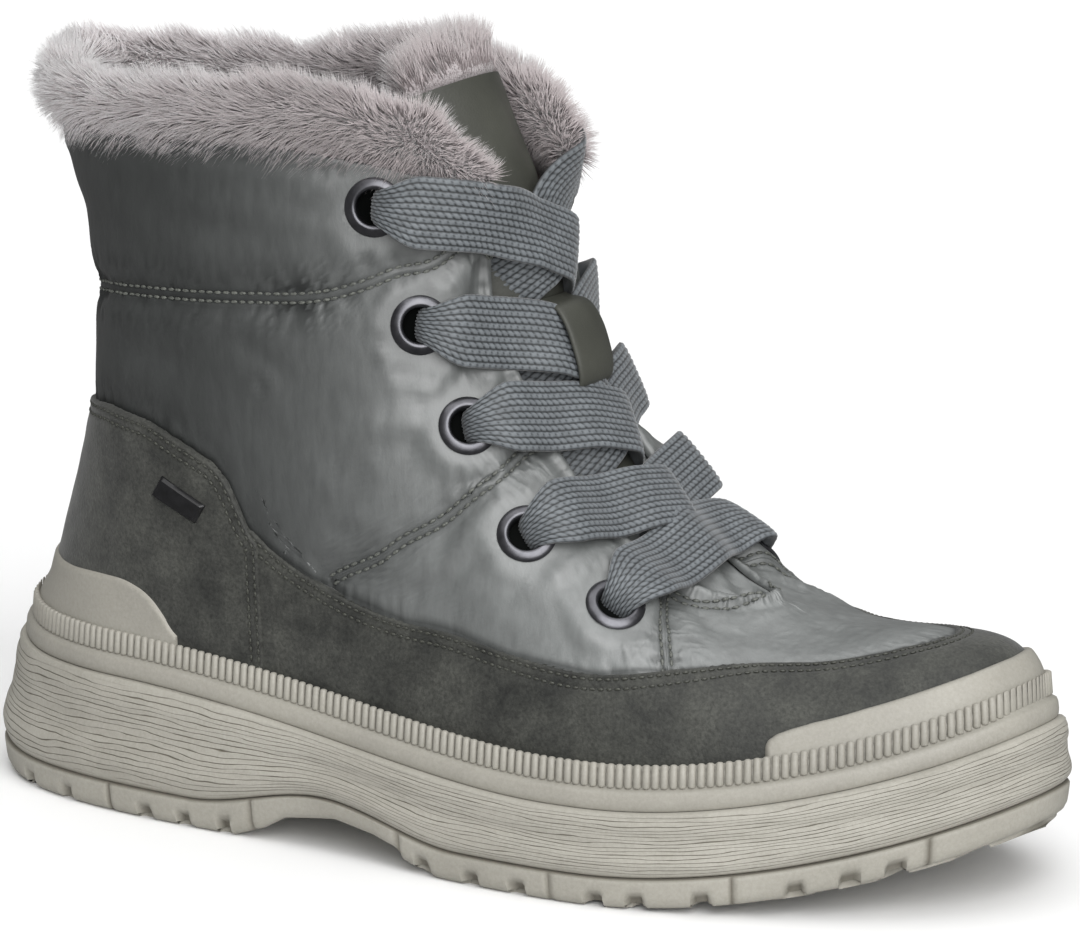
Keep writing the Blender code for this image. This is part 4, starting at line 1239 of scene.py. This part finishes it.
# rubber caps at heel and toe
caps = {
    "heelOuter": 2.5, "toeOuter": 2.4, "edge": 1.4, "columns": 220, "rows": 26, "under": 0.4,
    # around, share
    "toeTop": [(0.3925, 0.120), (0.3935, 0.160), (0.3955, 0.188), (0.400, 0.210), (0.406, 0.224),
               (0.415, 0.236), (0.435, 0.238), (0.455, 0.227), (0.477, 0.213), (0.500, 0.206)],
}


def makeCap(name, columns, top, outer, node):
    low = shareAt(columns, bandTop(columns) - 2.4)
    rim, _ = soleEdge(columns, wallInset(soleX(columns)) + 2.9)
    reach = np.linalg.norm(rim - wall(columns, low)[:, :2], axis=1)
    rise = 1 - (1 - np.linspace(0, 1, caps["rows"])) ** 1.5
    count = len(rise)
    border = np.maximum(top, low + 0.002)
    share = low[:, None] + (border - low)[:, None] * rise
    points, normals, _ = skinFrame(np.repeat(columns, count), share.ravel())
    distance, _ = besidePath(describePath(columns, border), points)
    blend = np.tile(smooth(1 - rise * 1.6), len(columns))
    height = outer + (np.repeat(np.maximum(reach, outer), count) - outer) * blend
    height = caps["under"] + (height - caps["under"]) * roundOff(distance, caps["edge"])
    height += 0.1 * latticeNoise(points / 9.0, 81)
    outside = (points + normals * height[:, None]).reshape(len(columns), count, 3)
    inside = [wall(columns, low + (top - low) * k, caps["under"] - 0.6) for k in (1.0, 0.5, 0.0)]
    smoothRubber(name, np.concatenate([outside, np.stack(inside, axis=1)], axis=1), node)


def capColumns(low, high):
    t = np.linspace(-1, 1, caps["columns"])
    return (low + high) / 2 + (high - low) / 2 * np.sin(t * np.pi / 2)


columns = capColumns(-heelBumperEdge[-1][0], heelBumperEdge[-1][0])
top = shareAt(columns, bandTop(columns) + 0.3 + softEdgeTable(heelBumperEdge, columns))
makeCap("heelCap", columns, top, caps["heelOuter"], "heel_bumper")
columns = capColumns(caps["toeTop"][0][0], 1 - caps["toeTop"][0][0])
top = softEdgeTable(caps["toeTop"], columns, 0.0008)
makeCap("toeCap", columns, top, caps["toeOuter"], "toe_bumper")
print("band and caps done")


# eyelets
eyelets = {
    "sides": 44,
    # radius and height of the ring's section, in mm, from the back of the barrel round to the front
    "section": [(4.1, -5.6), (4.1, 0.2), (4.2, 0.8), (4.5, 1.2), (4.9, 1.35), (5.3, 1.3), (6.1, 1.02),
                (6.65, 0.7), (6.95, 0.35), (6.85, 0.15), (4.8, 0.15), (4.8, -5.6)],
}


def makeEyelet(side, label, number, place):
    point, out = eyeletPose(place, side)
    turn = Vector(out).to_track_quat("Z", "Y").to_matrix()
    loops = []
    for angle in (2 * math.pi * i / eyelets["sides"] for i in range(eyelets["sides"])):
        loops.append([Vector(point) + turn @ Vector((r * math.cos(angle), r * math.sin(angle), h))
                      for r, h in eyelets["section"]])
    makePiece(f"eyelet{label.title()}{number}", loft(np.array(loops), ring=True), metal, "gunmetal",
              f"eyelet_{label}_{number}", None, 40)


for side, label in ((0, "outer"), (1, "inner")):
    for number, place in enumerate(eyeletPlaces, start=1):
        makeEyelet(side, label, number, place)
print("eyelets done")


# tongue
tongue = {"columns": 90, "rows": 36, "thickness": 5.0, "edge": 2.0, "crease": 0.35}


def makeTonguePiece():
    along = np.linspace(0, 1, tongue["columns"])
    half = spline(np.linspace(0, 1, len(tongueLine)), tongueLine, along)[:, 2]
    loops = []
    for a, reach in zip(along, half):
        across = reach * np.sin(np.linspace(-1, 1, tongue["rows"]) * np.pi / 2)
        drop = np.clip(tongue["edge"] - (reach - np.abs(across)), 0, None)
        offset = -(tongue["edge"] - np.sqrt(np.clip(tongue["edge"] ** 2 - drop ** 2, 0, None)))
        lumps = tongue["crease"] * latticeNoise(tongueFace(a, across)[0] / np.array([16.0, 9.0, 6.0]), 51)
        outer, _, _ = tongueFace(a, across, np.minimum(offset + lumps - 0.2, 0.2))
        inner, _, _ = tongueFace(a, across * 0.97, -tongue["thickness"])
        loops.append(np.concatenate([outer, inner[::-1][::4]]))
    makePiece("tongueLeather", loft(loops), grainLeather, "leather", "tongue", None, 60)


makeTonguePiece()


# laces
laces = {
    "width": 17.0, "thickness": 2.2,
    "neckWidth": 8.2, "neckThickness": 4.4, "neckReach": 12.0,
    "braids": 11, "samples": 4, "step": 0.6, "perFloat": 3, "float": 0.36,
    "overFlap": 2.1, "underFlap": -6.2, "arch": 2.4,
    "wayOut": [(-4.5, 1.2), (-0.5, 1.6), (2.2, 4.2), (3.0, 8.4)],   # along the axis, towards the edge
    # length along the tongue where the outer and the inner strap of each crossing meet the far flap
    "crossings": [(104, 104), (78, 80), (62, 61), (42, 42)], "topBend": 6.0, "bar": 34,
    "outerLift": 4.4, "innerLift": 1.7, "barLift": 4.6,
}


# lengths along the tongue, of its middle line and beside each eyelet
tongueAlong = np.linspace(0, 1, 201)
tonguePoints = tongueFace(tongueAlong, 0.0)[0]
tongueRun = runOf(tonguePoints)
eyeletMiddles = [eyeletPose(place, 0)[0] for place in eyeletPlaces]
runs = [tongueRun[np.argmin(np.hypot(tonguePoints[:, 0] - p[0], tonguePoints[:, 2] - p[2]))]
        for p in eyeletMiddles]


def onTongue(run, across, offset):
    return tongueFace(np.interp(run, tongueRun, tongueAlong), across, offset)


gusset = {
    "first": 6.0, "last": 60.0, "columns": 60, "rows": 40,
    "tuck": 2.0, "over": 0.9, "fade": 44.0, "fold": 0.9,
}


def edgePoints(side):
    around = np.linspace(0.235, 0.49, 400)
    return skinFrame(around if side == 0 else 1 - around, 1.0)


def flapEdge(side, run):
    # point on the edge of a flap beside a length along the tongue
    points, normals, _ = edgePoints(side)
    middle = onTongue(np.array([run, run + 1.0]), 0.0, 0.0)[0]
    best = int(np.argmin(np.abs((points - middle[0]) @ (middle[1] - middle[0]))))
    return points[best], normals[best]


def makeGusset():
    # gathered cloth that closes the foot of the throat between the flaps and the tongue
    u = np.linspace(0, 1, gusset["rows"])
    loops = []
    for run in np.linspace(gusset["first"], gusset["last"], gusset["columns"]):
        sides = [flapEdge(side, run) for side in (0, 1)]
        ends = [point - out * gusset["tuck"] for point, out in sides]
        half = np.linalg.norm(ends[1] - ends[0]) / 2
        over = gusset["over"] - 2.4 * smooth((run - gusset["fade"]) / 10)
        middle, out, _ = onTongue(run, np.array([-0.5, 0, 0.5]) * half, over - np.array([0.8, 0, 0.8]))
        line = spline([0, 0.25, 0.5, 0.75, 1], np.array([ends[0], *middle, ends[1]]), u)
        folds = latticeNoise([u * half / 0.9, run / 7], 52) * np.sin(np.pi * u)
        outer = line + out[1] * (gusset["fold"] * folds)[:, None]
        loops.append(np.concatenate([outer, (line - out[1] * 1.4)[::-1]]))
    marks = np.zeros(len(loops) * 2 * gusset["rows"])
    makePiece("throatGusset", loft(loops), nylon, "padded_cloth", "tongue", {"paintedShade": marks})


makeGusset()


def throughEyelet(centre, axis, edge):
    # a strap's way out of an eyelet towards the edge of its flap, and the way it faces
    toward = edge - centre
    toward = unit(toward - axis * (toward @ axis))
    points = [centre + axis * out + toward * on for out, on in laces["wayOut"]]
    return points, [-toward, unit(axis * 0.4 - toward), unit(axis - toward * 0.4), axis]


def strapMiddle(start, startSide, end, endSide, far, lift, whole, bend):
    # control points of a strap pulled straight from an eyelet to the other flap, and the way it faces
    sign = -1 if startSide == 0 else 1
    centre, axis = eyeletPose(eyeletPlaces[start], startSide)
    target, targetOut = flapEdge(endSide, far)
    _, middleOut, _ = onTongue((runs[start] + far) / 2, 0.0, 0.0)
    plane = unit(np.cross(target - centre, unit(axis + targetOut + 2 * middleOut[0])))
    points, normals, _ = edgePoints(startSide)
    between = np.where(np.linalg.norm(points - centre, axis=1) < 34, np.abs((points - centre) @ plane), 99)
    edge, edgeOut = points[np.argmin(between)], normals[np.argmin(between)]
    points, faces = throughEyelet(centre, axis, edge)
    points.append(edge + edgeOut * laces["overFlap"])
    faces.append(unit(edgeOut + 0.5 * axis))
    trial = np.arange(15.0, 145.0, 0.5)
    for across, extra in ((5.5, 0.5), (0.0, 0.0), (-5.5, 0.2)):
        row = onTongue(trial, sign * across, lift + extra)
        best = np.argmin(np.abs((row[0] - centre) @ plane))
        points.append(row[0][best])
        faces.append(row[1][best])
    # a strap that is bent leaves its flap further up the tongue
    upward = plane if plane[2] > 0 else -plane
    for k, part in ((4, 1.0), (5, 0.7), (3, 0.4)):
        points[k] = points[k] + upward * bend * part
    if whole:
        finish = target + targetOut * laces["overFlap"]
        del points[7], points[5], faces[7], faces[5]
        chord, away = finish - points[4], points[5] - points[4]
        t = away @ chord / (chord @ chord)
        short = laces["arch"] * 4 * t * (1 - t) - (away - t * chord) @ faces[5]
        points[5] = points[5] + faces[5] * max(short, 0.0)
        last, lastFaces = throughEyelet(*eyeletPose(eyeletPlaces[end], endSide), target)
        points += [finish, *last[::-1]]
        faces += [targetOut, *lastFaces[::-1]]
    else:
        onward = unit(target - points[-1])
        points += [target + targetOut * laces["underFlap"],
                   target + targetOut * (laces["underFlap"] - 0.6) + onward * 6.0]
        faces += [targetOut, targetOut]
    return np.array(points), np.array(faces)


def makeStrap(name, node, start, startSide, end, far, lift, whole=False, bend=0.0):
    # braided strap: a flat band whose face carries slanted floats of yarn
    points, faces = strapMiddle(start, startSide, end, 1 - startSide, far, lift, whole, bend)
    knots = runOf(points)
    at = np.linspace(0, knots[-1], 800)
    fine = spline(knots, points, at)
    run = runOf(fine)
    even = np.linspace(0, run[-1], int(run[-1] / laces["step"]))
    line = columnsAt(even, run, fine)
    face = columnsAt(np.interp(even, run, at), knots, faces)
    along = unit(np.gradient(line, axis=0))
    face = unit(face - along * (face * along).sum(axis=1)[:, None])
    side = np.cross(along, face)
    spread = smooth((even - 3.0) / laces["neckReach"])
    if whole:
        spread = np.minimum(spread, smooth((even[-1] - 3.0 - even) / laces["neckReach"]))
    width = laces["neckWidth"] + (laces["width"] - laces["neckWidth"]) * spread
    thick = laces["neckThickness"] + (laces["thickness"] - laces["neckThickness"]) * spread
    braids = laces["braids"]
    u = np.linspace(0, 1, braids * laces["samples"] + 1)
    # upper face: floats lean one way and then the other from column to column
    column = np.minimum((u * braids).astype(int), braids - 1)
    within = u * braids - column
    lean = np.where(column % 2 == 0, within, 1 - within)
    phase = np.arange(len(even))[:, None] / laces["perFloat"] + 0.62 * lean + 0.5 * (column % 2)
    weave = np.abs(np.sin(np.pi * phase)) ** 0.7 * np.sin(np.pi * np.clip(within, 0, 1)) ** 0.45
    under = np.linspace(1, 0, 9)[1:-1]
    rings = []
    for spots, way, lumps in ((u, 1, laces["float"] * (weave - 0.5)), (under, -1, 0.0)):
        crown = 0.25 + 0.75 * np.sqrt(np.clip(1 - np.abs(2 * spots - 1) ** 3.2, 0, 1))
        rise = way * thick[:, None] / 2 * crown + lumps
        lateral = (spots - 0.5) * width[:, None]
        rings.append(line[:, None] + side[:, None] * lateral[..., None] + face[:, None] * rise[..., None])
    marks = np.concatenate([weave, np.full((len(even), len(under)), 0.5)], axis=1)
    shape = loft(np.concatenate(rings, axis=1))
    makePiece(name, shape, webbing, "lace_webbing", node, {"weave": marks.ravel()})


for k, (outerEnd, innerEnd) in enumerate(laces["crossings"]):
    node = f"lace_crossing_{k + 1}"
    makeStrap(f"laceOuter{k + 1}", node, k, 0, k + 1, outerEnd, laces["outerLift"])
    bend = 0.0 if k else laces["topBend"]
    makeStrap(f"laceInner{k + 1}", node, k, 1, k + 1, innerEnd, laces["innerLift"], bend=bend)
makeStrap("laceBar", "lace_bar", 4, 0, 4, laces["bar"], laces["barLift"], True)
print("laces done")


# lace keeper
keeper = {
    "half": 5.6, "edge": 0.6,
    # length along the tongue and height over it, of the loop's middle, in mm
    "path": [(-14.5, 0.2), (-12.6, 1.4), (-11.8, 4.6), (-9.0, 6.6), (-4.0, 7.5), (1.0, 7.5), (5.0, 6.6),
             (7.8, 4.8), (8.8, 2.4), (10.0, 0.3)],
    "thickness": 1.3,
}


def makeKeeper():
    middle = (runs[1] + runs[2]) / 2
    knots = runOf(keeper["path"])
    fine = spline(knots, keeper["path"], np.linspace(0, knots[-1], 64))
    tangent = unit(np.gradient(fine, axis=0))
    across = keeper["half"] * np.sin(np.linspace(-1, 1, 15) * np.pi / 2)
    fall = np.clip(keeper["edge"] - (keeper["half"] - np.abs(across)), 0, None)
    fall = keeper["edge"] - np.sqrt(np.clip(keeper["edge"] ** 2 - fall ** 2, 0, None))
    loops = []
    for (run, height), (along, up) in zip(fine, tangent):
        sides = []
        for level, order in ((0.5, 1), (-0.5, -1)):
            lift = level * (keeper["thickness"] - 2 * fall)
            sides.append(onTongue(middle + run - up * lift, across, height + along * lift)[0][::order])
        loops.append(np.concatenate(sides))
    makePiece("laceKeeper", loft(loops), grainLeather, "leather", "lace_keeper", None, 50)


makeKeeper()
print("tongue and keeper done")


# fur
fur = {
    "columns": 160, "reach": 0.257,
    # outward and upward from the collar edge, in mm, round the cushion that the pile grows from
    "section": [(-1.6, 2.2), (-0.6, 4.2), (-0.4, 6.6), (-1.2, 9.0), (-3.4, 10.6), (-6.4, 9.8), (-8.4, 6.6),
                (-8.0, 1.0), (-5.0, -3.0)],
    "length": 6.9, "endLength": 6.0, "crest": 4.6, "crestPlace": 0.2,   # tallest beside the throat
    "tongueLength": 9.0, "tongueHalf": 22.0,
    "strands": {"Density": 5.4e6, "Strand width": 0.00014, "Lock size": 0.0085, "Lock strength": 1.1,
                "Stray": 0.26, "Sway": 0.8},
    "tongueSection": [(-6.0, -16), (-4.6, -4), (-1.4, 0.5), (-0.4, 4), (-3.0, 8.5), (-7.5, 7.4), (-9.6, -3),
                      (-9.4, -16)],
}


def growPile(name, rings, seed, node, start=0, stop=None):
    # strands from the cushion between two of its rings, which hold points, lie, length and density
    points, lie, length, density = [np.array(part)[start:stop] for part in zip(*rings)]
    shape, faces = loft(points, capped=False)
    guide = newMesh(name + "Guide", shape, [], faces, {
        "pileLie": lie.reshape(-1, 3), "pileLength": length.ravel() * 0.001, "pileDensity": density.ravel()})
    runTree(name, guide, strands, {**fur["strands"], "Seed": seed, "Material": furPile}, "fur", node)


def makeCollarFur():
    around = np.linspace(-fur["reach"], fur["reach"], fur["columns"])
    point, out, up = skinFrame(around, 1.0)
    along = unit(np.gradient(point, axis=0))
    section = closedCurve(fur["section"], 32)
    away = section - section.mean(axis=0)
    rings = []
    for i, a in enumerate(around):
        size = 1 - 0.45 * smooth((abs(a) - 0.226) / 0.032)
        lump = 1 + 0.1 * latticeNoise([a * 60, 0.0], 7)[0]
        crest = fur["crest"] * bell(abs(a) - fur["crestPlace"], 0.035)
        ring = [point[i] + out[i] * o * size * lump + up[i] * (h * size * lump + crest * smooth(h / 9))
                for o, h in section]
        normal = unit(out[i] * away[:, :1] + up[i] * away[:, 1:])
        # the pile lies back towards the heel and down over the outside
        backward = -along[i] * np.sign(a + 1e-6)
        outer = np.clip(away[:, :1] / 4, 0, 1)
        end = smooth((abs(a) - 0.215) / 0.03)
        lie = normal * 0.95 + backward * (0.55 * (1 - 1.6 * end)) - up[i] * (0.14 * outer * (1 - 0.9 * end))
        density = 0.25 + 0.75 * smooth((away[:, 1] + 9.5) / 3) * np.where(away[:, 0] < -3, 0.55, 1.0)
        length = fur["length"] + (fur["endLength"] - fur["length"]) * end
        rings.append((ring, unit(lie + np.array([0, 0, -0.05])), np.full(len(section), length), density))
    makePiece("furCollarBase", loft([ring[0] for ring in rings]), furGround, "fur", "fur_collar")
    middle = fur["columns"] // 2
    growPile("furCollarPile1", rings, 4, "fur_collar", 0, middle + 1)
    growPile("furCollarPile2", rings, 5, "fur_collar", middle)


def makeTongueFur():
    section = closedCurve(fur["tongueSection"], 36)
    away = section - section.mean(axis=0)
    # strands in front stand upright, clear of the leather below them
    front = (section[:, 0] > -5.5) & (section[:, 1] < 4.5)
    density = np.where(section[:, 1] > -3, 1.0, 0.45) * np.where(front & (section[:, 1] < -1), 0.0, 1.0)
    rings = []
    for s in np.linspace(-fur["tongueHalf"], fur["tongueHalf"], 40):
        size = 1 - 0.35 * (abs(s) / 23) ** 2
        ring = []
        for o, h in section:
            point, out, up = tongueFace(1.0, s, o * size)
            ring.append(point[0] + up[0] * h * (size if h > 0 else 1))
        normal = unit(out[0] * away[:, :1] + up[0] * away[:, 1:])
        lie = unit(normal + np.array([-0.3, 0.012 * s, 0.15]) + up[0] * 0.2)
        lie = np.where(front[:, None], unit(0.4 * normal + up[0] + [-0.2, 0, 0]), lie)
        rings.append((ring, lie, np.full(len(section), fur["tongueLength"]), density))
    makePiece("furTongueBase", loft([ring[0] for ring in rings]), furGround, "fur", "tongue_fur")
    growPile("furTonguePile", rings, 9, "tongue_fur")


makeCollarFur()
makeTongueFur()
print("fur done")


# stitches
sewing = {
    "nylon": {"Pitch": 0.0023, "Stitch size": (0.0021, 0.0009, 0.0007), "Material": paleThread},
    "leather": {"Pitch": 0.002, "Stitch size": (0.0016, 0.0007, 0.0005), "Material": darkThread},
    "lift": 0.15, "sunk": 0.32,      # over the nylon and into the leather, in mm
}


def sewRows(name, rows, lifts, inputs, slotName):
    # stitches along rows, each lifted from the form
    guide = guideLines([(row["point"] + row["out"] * lift, False) for row, lift in zip(rows, lifts)],
                       {"outward": np.concatenate([row["out"] for row in rows])})
    runTree(name, guide, stitches, inputs, slotName)


rows = [offsetPath(line, way) for lines in seamLines.values() for line in lines
        for way in (-padding["stitchRow"], padding["stitchRow"])]
lifts = [(padHeight(row["around"] % 1, row["share"], row["point"])[0] + sewing["lift"])[:, None]
         for row in rows]
sewRows("nylonStitches", rows, lifts, sewing["nylon"], "padded_cloth")
rows, lifts = [], []
for border, offset in ((counterBorder, overlay["counterOffset"]), (guardBorder, overlay["guardOffset"])):
    for distance in overlay["stitchRows"]:
        # inwards is the way that leads down from the border
        sides = [offsetPath(border, way) for way in (distance, -distance)]
        rows.append(min(sides, key=lambda side: side["point"][:, 2].mean()))
        lifts.append(offset - sewing["sunk"])
sewRows("leatherStitches", rows, lifts, sewing["leather"], "leather")
print("stitches done")


# insole and badge
insole = {
    "inset": 0.9, "columns": 240,
    "rim": [(0.0, 0.0), (0.0, 3.8), (0.5, 4.7), (1.4, 5.0)],      # inset and height up the rounded rim
    "steps": (4.0, 8.0, 14.0, 20.0),                              # further insets across the top
}
badge = {
    "corners": [(0.134, 0.354), (0.155, 0.314), (0.140, 0.393), (0.160, 0.349)],   # around, share
    "thickness": 1.1, "lift": 1.8, "bevel": 0.35,
}


def makeInsole():
    around = roundSole(insole["columns"])
    x = soleX(around)
    inset = wallInset(x) + boot["lastInset"] + boot["wallThickness"] + insole["inset"]
    base = footbedHeight(x) + boot["gap"]
    loops = [soleLoop(around, inset + step, base + height) for step, height in insole["rim"]]
    for k in insole["steps"]:
        loop = soleLoop(around, inset + k, base)
        loop[:, 2] = footbedHeight(loop[:, 0]) + 5.3 - 0.2 * smooth(k / 20)
        loops.append(loop)
    makePiece("insoleFelt", loft(loops), liningPile, "insole_felt", "insole", None, 60)


def makeBadge():
    # blank plate with bevelled edges, bent to the counter
    u, v = np.meshgrid(np.linspace(0, 1, 25), np.linspace(0, 1, 11), indexing="ij")
    weights = np.stack([(1 - u) * (1 - v), u * (1 - v), (1 - u) * v, u * v]).reshape(4, -1)
    around, share = sum(w * np.array(corner)[:, None] for w, corner in zip(weights, badge["corners"]))
    edge = np.minimum(np.minimum(u, 1 - u) * 24, np.minimum(v, 1 - v) * 8)
    rise = badge["lift"] + badge["thickness"] - badge["bevel"] * (1 - np.clip(edge / 0.6, 0, 1)) ** 2 * 2
    front = wall(around, share, rise.ravel()).reshape(25, 11, 3)
    back = wall(around, share, badge["lift"] - 0.6).reshape(25, 11, 3)
    shape = loft(np.concatenate([front, back[:, ::-1]], axis=1))
    makePiece("badgePlate", shape, lacquer, "badge_plate", "badge", None, 40)


makeInsole()
makeBadge()
print("insole and badge done")


# floor, light and camera
studio = {
    "floor": 6.0, "world": "#ffffff", "worldStrength": 0.19,
    "key": (0.8, -0.8, 0.65), "keyStrength": 3.15, "keyAngle": 60.0,     # direction towards the light
    "top": (0.0, 0.0, 1.0), "topStrength": 1.6, "topAngle": 70.0,
    "camera": (0.76245, -1.2553, 0.4111), "lookAt": (0.00723, 0.00163, 0.08587), "lens": 212.9,
}


def makeStudio():
    half = studio["floor"] / 2
    mesh = bpy.data.meshes.new("floor")
    mesh.from_pydata([(-half, -half, 0), (half, -half, 0), (half, half, 0), (-half, half, 0)], [],
                     [(0, 1, 2, 3)])
    mesh.materials.append(floorPaint)
    floor = addObject("floor", mesh)
    floor.visible_glossy = False       # a black card in front of the boot: no white table in its gloss
    scene = bpy.context.scene
    scene.view_settings.view_transform = "Standard"
    scene.world = bpy.data.worlds.new("softStudio")
    scene.world.use_nodes = True
    tree = scene.world.node_tree
    feed(tree, tree.nodes["Background"], {
        "Color": colour(studio["world"]), "Strength": studio["worldStrength"]})
    for name in ("key", "top"):
        sun = bpy.data.lights.new(name, "SUN")
        sun.energy = studio[name + "Strength"]
        sun.angle = math.radians(studio[name + "Angle"])
        addObject(name, sun).rotation_euler = Vector(studio[name]).to_track_quat("Z", "Y").to_euler()
    view = bpy.data.cameras.new("camera")
    view.lens = studio["lens"]
    view.sensor_width = 36.0
    camera = addObject("camera", view)
    camera.location = studio["camera"]
    away = Vector(studio["lookAt"]) - Vector(studio["camera"])
    camera.rotation_euler = away.to_track_quat("-Z", "Y").to_euler()
    scene.camera = camera


makeStudio()
